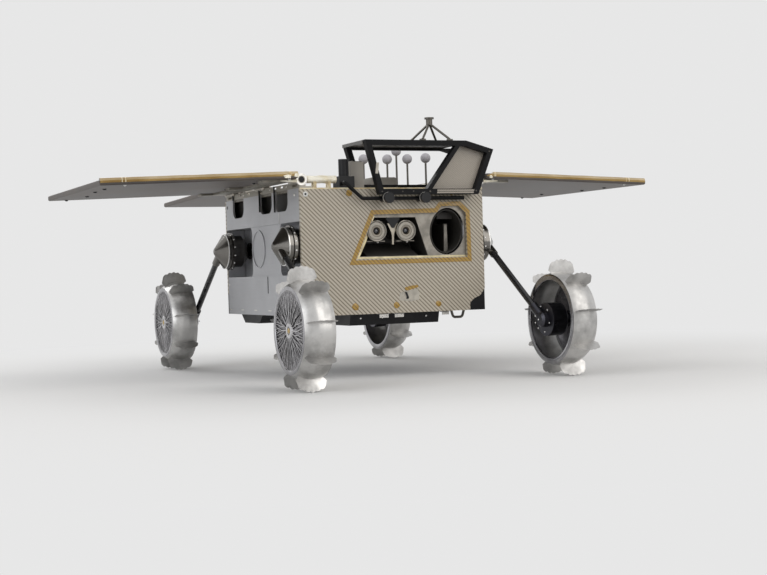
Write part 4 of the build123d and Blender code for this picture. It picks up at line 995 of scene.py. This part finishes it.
wing_tan = wing_skin("wing_tan")
dress(wing_tan, "wing_left", "wing_right", "wing_rear")
arm_grey = blasted_metal("arm_grey", (0.36, 0.335, 0.285), 0.42)
dress(arm_grey, "wing_arms_left", "wing_arms_right", "wing_arms_rear")
hinge_alloy = satin_alloy("hinge_alloy", (0.40, 0.375, 0.325), 0.34, 0.8)
dress(hinge_alloy, "wing_hinge_left", "wing_hinge_right", "wing_hinge_rear")
beige_foil = foil("beige_foil", (0.54, 0.44, 0.29), (0.38, 0.28, 0.15), 160.0, 0.34, 0.45, 12.0)
edge_gold = foil("edge_gold", (0.40, 0.275, 0.11), (0.24, 0.15, 0.05), 160.0, 0.30, 0.45, 12.0)
side_cells = solar_cells("side_cells", 44.0, 40.0)
rear_cells = solar_cells("rear_cells", 41.0, 46.0)
# The pointed end of the foil that is wrapped round the wing's foremost arm
SPOUT = ((0, 0), (0, 3.3), (8.0, 3.2), (20.0, 2.0), (31.0, 0.9), (31.0, 0))
SPOUT_FOOT = (189.4, -216.0, 244.9)
ROOT_STRAP = 12.0
# Columns: distance of each strap near the wing's end from the root, and its width
END_STRAPS = ((312.0, 2.2), (318.5, 1.4))
STRAP_PROUD = 0.5
# Columns: y and distance from the hinge of each stud under a side wing, and its radius
WING_STUDS = ((-127.0, 337.0, 4.08), (-45.0, 335.0, 4.08), (95.0, 319.0, 4.08), (209.0, 335.0, 3.6),
              (-127.0, 60.0, 3.12), (40.0, 60.0, 3.12), (180.0, 60.0, 3.12))

for side_name, side in SIDES:
    body = "solar_wing_" + side_name
    hinge = Vector((side * HINGE.x, 0, HINGE.z))
    # What takes a shape made for a level left wing to this wing, at its droop
    settle = drooped(hinge, side * WING_DROOP, "Y") @ Matrix.Scale(side, 4, ALONG_X)
    corner = at(WING_ROOT, WING_FRONT, WING_LOW)
    # The left wing's foil is cut slanting at its root, which passes the rig's strut as the wing folds
    mitre, step = (4.9, 3.0) if side > 0 else (SQUARE_END, 0.0)
    for film_name, profile, material in (("upper", EDGE_UPPER, beige_foil), ("lower", EDGE_LOWER, edge_gold)):
        film = folded_film(WING_LENGTH - 1.0, profile, FILM_CRUMPLE, FILM_WAVES, mitre)
        bmesh.ops.translate(film, verts=film.verts, vec=corner)
        piece("wing_film_" + film_name + "_" + side_name, placed(film, settle), material, body)
    straps = []
    for distance, width in ((ROOT_STRAP + step, 5.0), *END_STRAPS):
        band = folded_film(width, EDGE_UPPER[:-1] + EDGE_LOWER, 0.0, FILM_WAVES)
        bmesh.ops.translate(band, verts=band.verts, vec=corner + mm(distance, -STRAP_PROUD, 0))
        straps.append(band)
    piece("wing_straps_" + side_name, placed(join(straps), settle), pale_foil, body)
    dots = buttons(*((corner + mm(distance, 7.0, -0.4), (0, -0.6, -1), 2.8, 1.6)
                     for distance in (ROOT_STRAP + 2.0 + step, END_STRAPS[0][0] + 1.0)))
    piece("wing_edge_screws_" + side_name, placed(dots, settle), nylon_white, body)
    studs = buttons(*((at(HINGE_X + distance, y, WING_LOW), (0, 0, -1), radius, 2.4)
                      for y, distance, radius in WING_STUDS))
    piece("wing_studs_" + side_name, placed(studs, settle), fitting_black, body)
    spot = corner + mm(3.2 + 2 * step, 0.6, 7.0 - 0.8 * step)
    lumps = [buttons((spot, (0, -1, 0.3), 5.0 - 0.4 * step, 2.0), wrinkle=0.5, sides=24)]
    if side < 0:
        lumps.append(buttons((corner + mm(20.0, 0.4, 6.8), (0, -1, 0.6), 7.0, 1.4), wrinkle=0.6, sides=24))
    piece("wing_root_foil_" + side_name, placed(join(lumps), settle), bright_foil, body)
    spout = lathe(SPOUT, at(*SPOUT_FOOT), (1, 0, 0.03), 24)
    piece("wing_root_cone_" + side_name, placed(spout, settle), bright_foil, body)
    cells = placed(sheet(*WING_CELLS), settle)
    piece("wing_cells_" + side_name, cells, side_cells, body)

cells = placed(sheet(*REAR_CELLS), drooped(Vector((0, HINGE.y, HINGE.z)), -REAR_DROOP, "X"))
piece("wing_cells_rear", cells, rear_cells, "solar_wing_rear")

# The ring at the front of each side hinge, bright where the pin's eye is turned, and a black disc
# in its bore, painted shade for the hole
EYE = ((-0.6, 6.8), (0.2, 7.0), (0.2, 9.0), (1.0, 9.4), (1.0, 10.6), (-0.6, 11.0), (-0.6, 6.8))
for side_name, side in SIDES:
    eye = lathe(EYE, at(side * HINGE_X, HINGE_FRONT - 0.2, HINGE_Z), AHEAD, 48)
    piece("hinge_eye_" + side_name, eye, bright_metal)
    # The bore is a black disc, painted shade for the hole.
    bore = buttons((at(side * HINGE_X, HINGE_FRONT, HINGE_Z), AHEAD, 7.2, 0.5), sides=32)
    piece("hinge_bore_shade_" + side_name, bore, fitting_black)

# Test rig
# Square tube painted satin black, under a black laminate plate. The gusset is seated behind the
# front frame. Two clamps grip the front plate and hold a bent rod.

rig_black = matt_black("rig_black", (0.004, 0.004, 0.0045), 0.36, 3.0, 0.12)
dress(rig_black, "rig_front_frame", "rig_rear_frame", "rig_tie_rod")
plate_black = twill("plate_black", "X", "Y", (1.6, 1.6), (0.11, 0.10, 0.088), (0.008, 0.008, 0.008), 0.5)
dress(plate_black, "rig_top_plate")
tripod_metal = satin_alloy("tripod_metal", (0.14, 0.13, 0.115), 0.26, 0.9)
dress(tripod_metal, "lifting_tripod", "belly_skid")

RIG_FACE = -242.0
BAR_COVER = ((78.0, 219.6), (154.0, 219.6), (156.0, 226.4), (79.0, 226.4))
BAR_LINE = ((78.0, 222.6), (155.0, 222.6), (155.0, 223.6), (78.0, 223.6))
piece("rig_bar_cover", upright(BAR_COVER, RIG_FACE - 0.4, 0.4), gusset_twill)
piece("rig_bar_line", upright(BAR_LINE, RIG_FACE - 0.6, 0.3), rig_black)
# Columns: x and z of each bright screw on the rig, and its radius
RIG_SCREWS = ((-33.0, 223.0, 1.5), (8.0, 223.0, 1.3), (30.0, 223.5, 1.4), (64.0, 223.0, 1.8),
              (160.0, 224.0, 1.5), (190.0, 298.0, 1.4))
rig_screws = buttons(*((at(x, RIG_FACE, z), AHEAD, radius, 0.9) for x, z, radius in RIG_SCREWS))
piece("rig_screws", rig_screws, tripod_metal)
CLAMPS = (-23.0, 51.0)
CLAMP_FRONT = -246.2
CLAMP_Z = 211.5
CHEEK = ((0, 0), (0, 10.15), (0.8, 10.3), (2.6, 10.3), (2.6, 0))
clamp_cheeks = [lathe(CHEEK, at(x, CLAMP_FRONT, CLAMP_Z), (0, 1, 0), 40) for x in CLAMPS]
piece("clamp_cheeks", join(clamp_cheeks), bright_metal)
STRUT_TAG = ((-46.0, 256.0), (-40.5, 256.0), (-38.0, 276.0), (-43.5, 276.0))
piece("rig_strut_tag", upright(STRUT_TAG, RIG_FACE - 0.6, 0.5), patch_grey)

# Markers
# Pale balls with a soft matt skin, for tracking, on thin dark stems.

ball_skin = Finish("ball_skin", {})
ball_cloud = ball_skin.clouds(120.0, 4.0)
ball_mix = ball_skin.mix(ball_cloud, rgb(0.56, 0.545, 0.57), rgb(0.44, 0.43, 0.46))
marker_skin = ball_skin.look(ball_mix, 0.7, ball_cloud, 0.1)
dress(marker_skin, "marker_balls")
dress(tripod_metal, "marker_stems")

# Deck and belly fittings
# Lids and screws dress the boxes on the deck. Bent alloy brackets hang the black units from the
# belly.

# Columns: x, y and z of each lid's middle, then its half sizes along x and y, in millimetres
LIDS = ((-35.0, -84.0, 254.2, 15.0, 32.0), (28.0, -84.0, 257.2, 24.0, 32.0),
        (-57.0, -172.0, 282.2, 11.0, 10.0))
LID_THICKNESS = 1.2
LID_SCREW_INSET = 3.5
DECK = 232.0
DECK_SCREW_X = (-170.0, -60.0, 90.0, 170.0)
DECK_SCREW_Y = (-200.0, 30.0, 120.0, 200.0)
UPWARD = (0, 0, 1)
lids = []
deck_screws = []
for x, y, z, half_x, half_y in LIDS:
    lid = sheet(x - half_x, x + half_x, y - half_y, z, 2 * half_y, LID_THICKNESS)
    bmesh.ops.bevel(lid, geom=list(lid.edges), offset=0.5 * MM, offset_type="OFFSET", segments=2, profile=0.5,
                    affect="EDGES", material=-1)
    lids.append(lid)
    for step_x in (LID_SCREW_INSET - half_x, half_x - LID_SCREW_INSET):
        for step_y in (LID_SCREW_INSET - half_y, half_y - LID_SCREW_INSET):
            deck_screws.append((at(x + step_x, y + step_y, z + LID_THICKNESS), UPWARD, 1.6, 0.9))
piece("deck_box_lids", join(lids), bezel_grey)
for x in DECK_SCREW_X:
    for y in DECK_SCREW_Y:
        deck_screws.append((at(x, y, DECK), UPWARD, 2.6, 1.4))
piece("deck_screws", buttons(*deck_screws), bright_metal)

# Columns: lowest and highest x of each bracket, and how far it hangs down
BRACKETS = ((-33.0, -13.0, 8.0), (-2.0, 18.0, 8.0), (96.0, 112.0, 7.0))
BRACKET_FACE = -211.0
BRACKET_FOOT = 10.0
BRACKET_SHEET = 1.6
# Columns: x, y and z of each screw in the brackets and in the black units behind them
BELLY_SCREWS = ((-28.0, -211.2, -5.0), (-18.0, -211.2, -5.0), (3.0, -211.2, -5.0), (13.0, -211.2, -5.0),
                (-64.0, -196.4, -8.0), (-20.0, -196.4, -8.0), (70.0, -196.4, -8.0))


def bracket(x_low, x_high, drop):
    """A small angle of bent sheet under the belly's front edge."""
    foot = sheet(x_low, x_high, BRACKET_FACE, 0, BRACKET_FOOT, -BRACKET_SHEET)
    ends = (at(x, BRACKET_FACE, -drop) for x in (x_low + 1, x_high - 1))
    return join([foot, strip(*ends, mm(0, 0, drop), mm(0, BRACKET_SHEET, 0))])


piece("belly_brackets", join([bracket(*row) for row in BRACKETS]), bright_metal)
belly_screws = buttons(*((at(*spot), AHEAD, 1.8, 1.0) for spot in BELLY_SCREWS))
piece("belly_screws", belly_screws, bright_ring)

# Floor, light and camera
# A plain pale studio floor with large soft lamps. The camera stands where the photographer did,
# a little above the ground and turned slightly about its line of sight.

BACKGROUND = rgb(0.80, 0.80, 0.80)
# Distances from the middle, in metres, between which the floor turns to the background
FLOOR_FADE = (0.55, 1.7)
# The sky's strength as a light, beside 1 where it is seen
SKY_LIGHT = 0.7
floor = bmesh.new()
bmesh.ops.create_circle(floor, cap_ends=True, segments=96, radius=60.0)
floor_thing = add_object("floor", mesh_of("floor", floor))
pale = Finish("floor_pale", {"Roughness": 0.9, "Specular IOR Level": 0.0, "Emission Strength": 1.0})
x, y, z = pale.axes().values()
away = pale.ramp((x * x + y * y).math("SQRT"), *FLOOR_FADE)
BLACK = rgb(0.0, 0.0, 0.0)
floor_pale = pale.shade({"Base Color": pale.mix(away, rgb(0.88, 0.877, 0.87), BLACK),
                         "Emission Color": pale.mix(away * pale.seen(), BLACK, BACKGROUND)})
floor_thing.data.materials.append(floor_pale)

bpy.context.scene.world = bpy.data.worlds.new("studio")
sky = Shading(bpy.context.scene.world, "Background", {"Color": BACKGROUND})
sky.feed(sky.shader, {"Strength": sky.seen() * (1.0 - SKY_LIGHT) + SKY_LIGHT})


def lamp(name, position, aim, size, power, colour):
    light = bpy.data.lights.new(name, "AREA")
    light.shape = "RECTANGLE"
    light.size, light.size_y = size
    light.energy = power
    light.color = colour
    thing = add_object(name, light)
    thing.location = position
    thing.rotation_euler = (Vector(aim) - Vector(position)).to_track_quat("-Z", "Y").to_euler()


lamp("key", (1.3, -2.9, 2.2), (0, 0, 0.2), (2.4, 3.7), 42.0, (1.0, 0.97, 0.93))
lamp("fill", (-3.0, -1.2, 1.3), (0, 0, 0.2), (1.8, 3.0), 24.0, (0.95, 0.97, 1.0))
lamp("back", (-0.6, 2.8, 2.4), (0, 0, 0.3), (1.8, 1.0), 28.0, (1.0, 1.0, 1.0))

FOCAL_PIXELS = 1434.9
PHOTO_WIDTH = 767
AZIMUTH = radians(-24.0)
PITCH = radians(0.5)
ROLL = radians(-1.7)
DISTANCE = 2881.9
TARGET = (71.3, 0.0, 45.7)
back = Vector((sin(AZIMUTH) * cos(PITCH), -cos(AZIMUTH) * cos(PITCH), sin(PITCH)))
right = Vector((cos(AZIMUTH), sin(AZIMUTH), 0.0))
up = back.cross(right)
camera_x = right * cos(ROLL) + up * sin(ROLL)
camera_y = up * cos(ROLL) - right * sin(ROLL)
camera = add_object("camera", bpy.data.cameras.new("camera"))
camera.data.sensor_width = 36.0
camera.data.lens = FOCAL_PIXELS / PHOTO_WIDTH * camera.data.sensor_width
stand = Matrix((camera_x, camera_y, back)).transposed().to_4x4()
stand.translation = at(*TARGET) + back * DISTANCE * MM
camera.matrix_world = stand
bpy.context.scene.camera = camera
bpy.context.scene.view_settings.view_transform = "Standard"
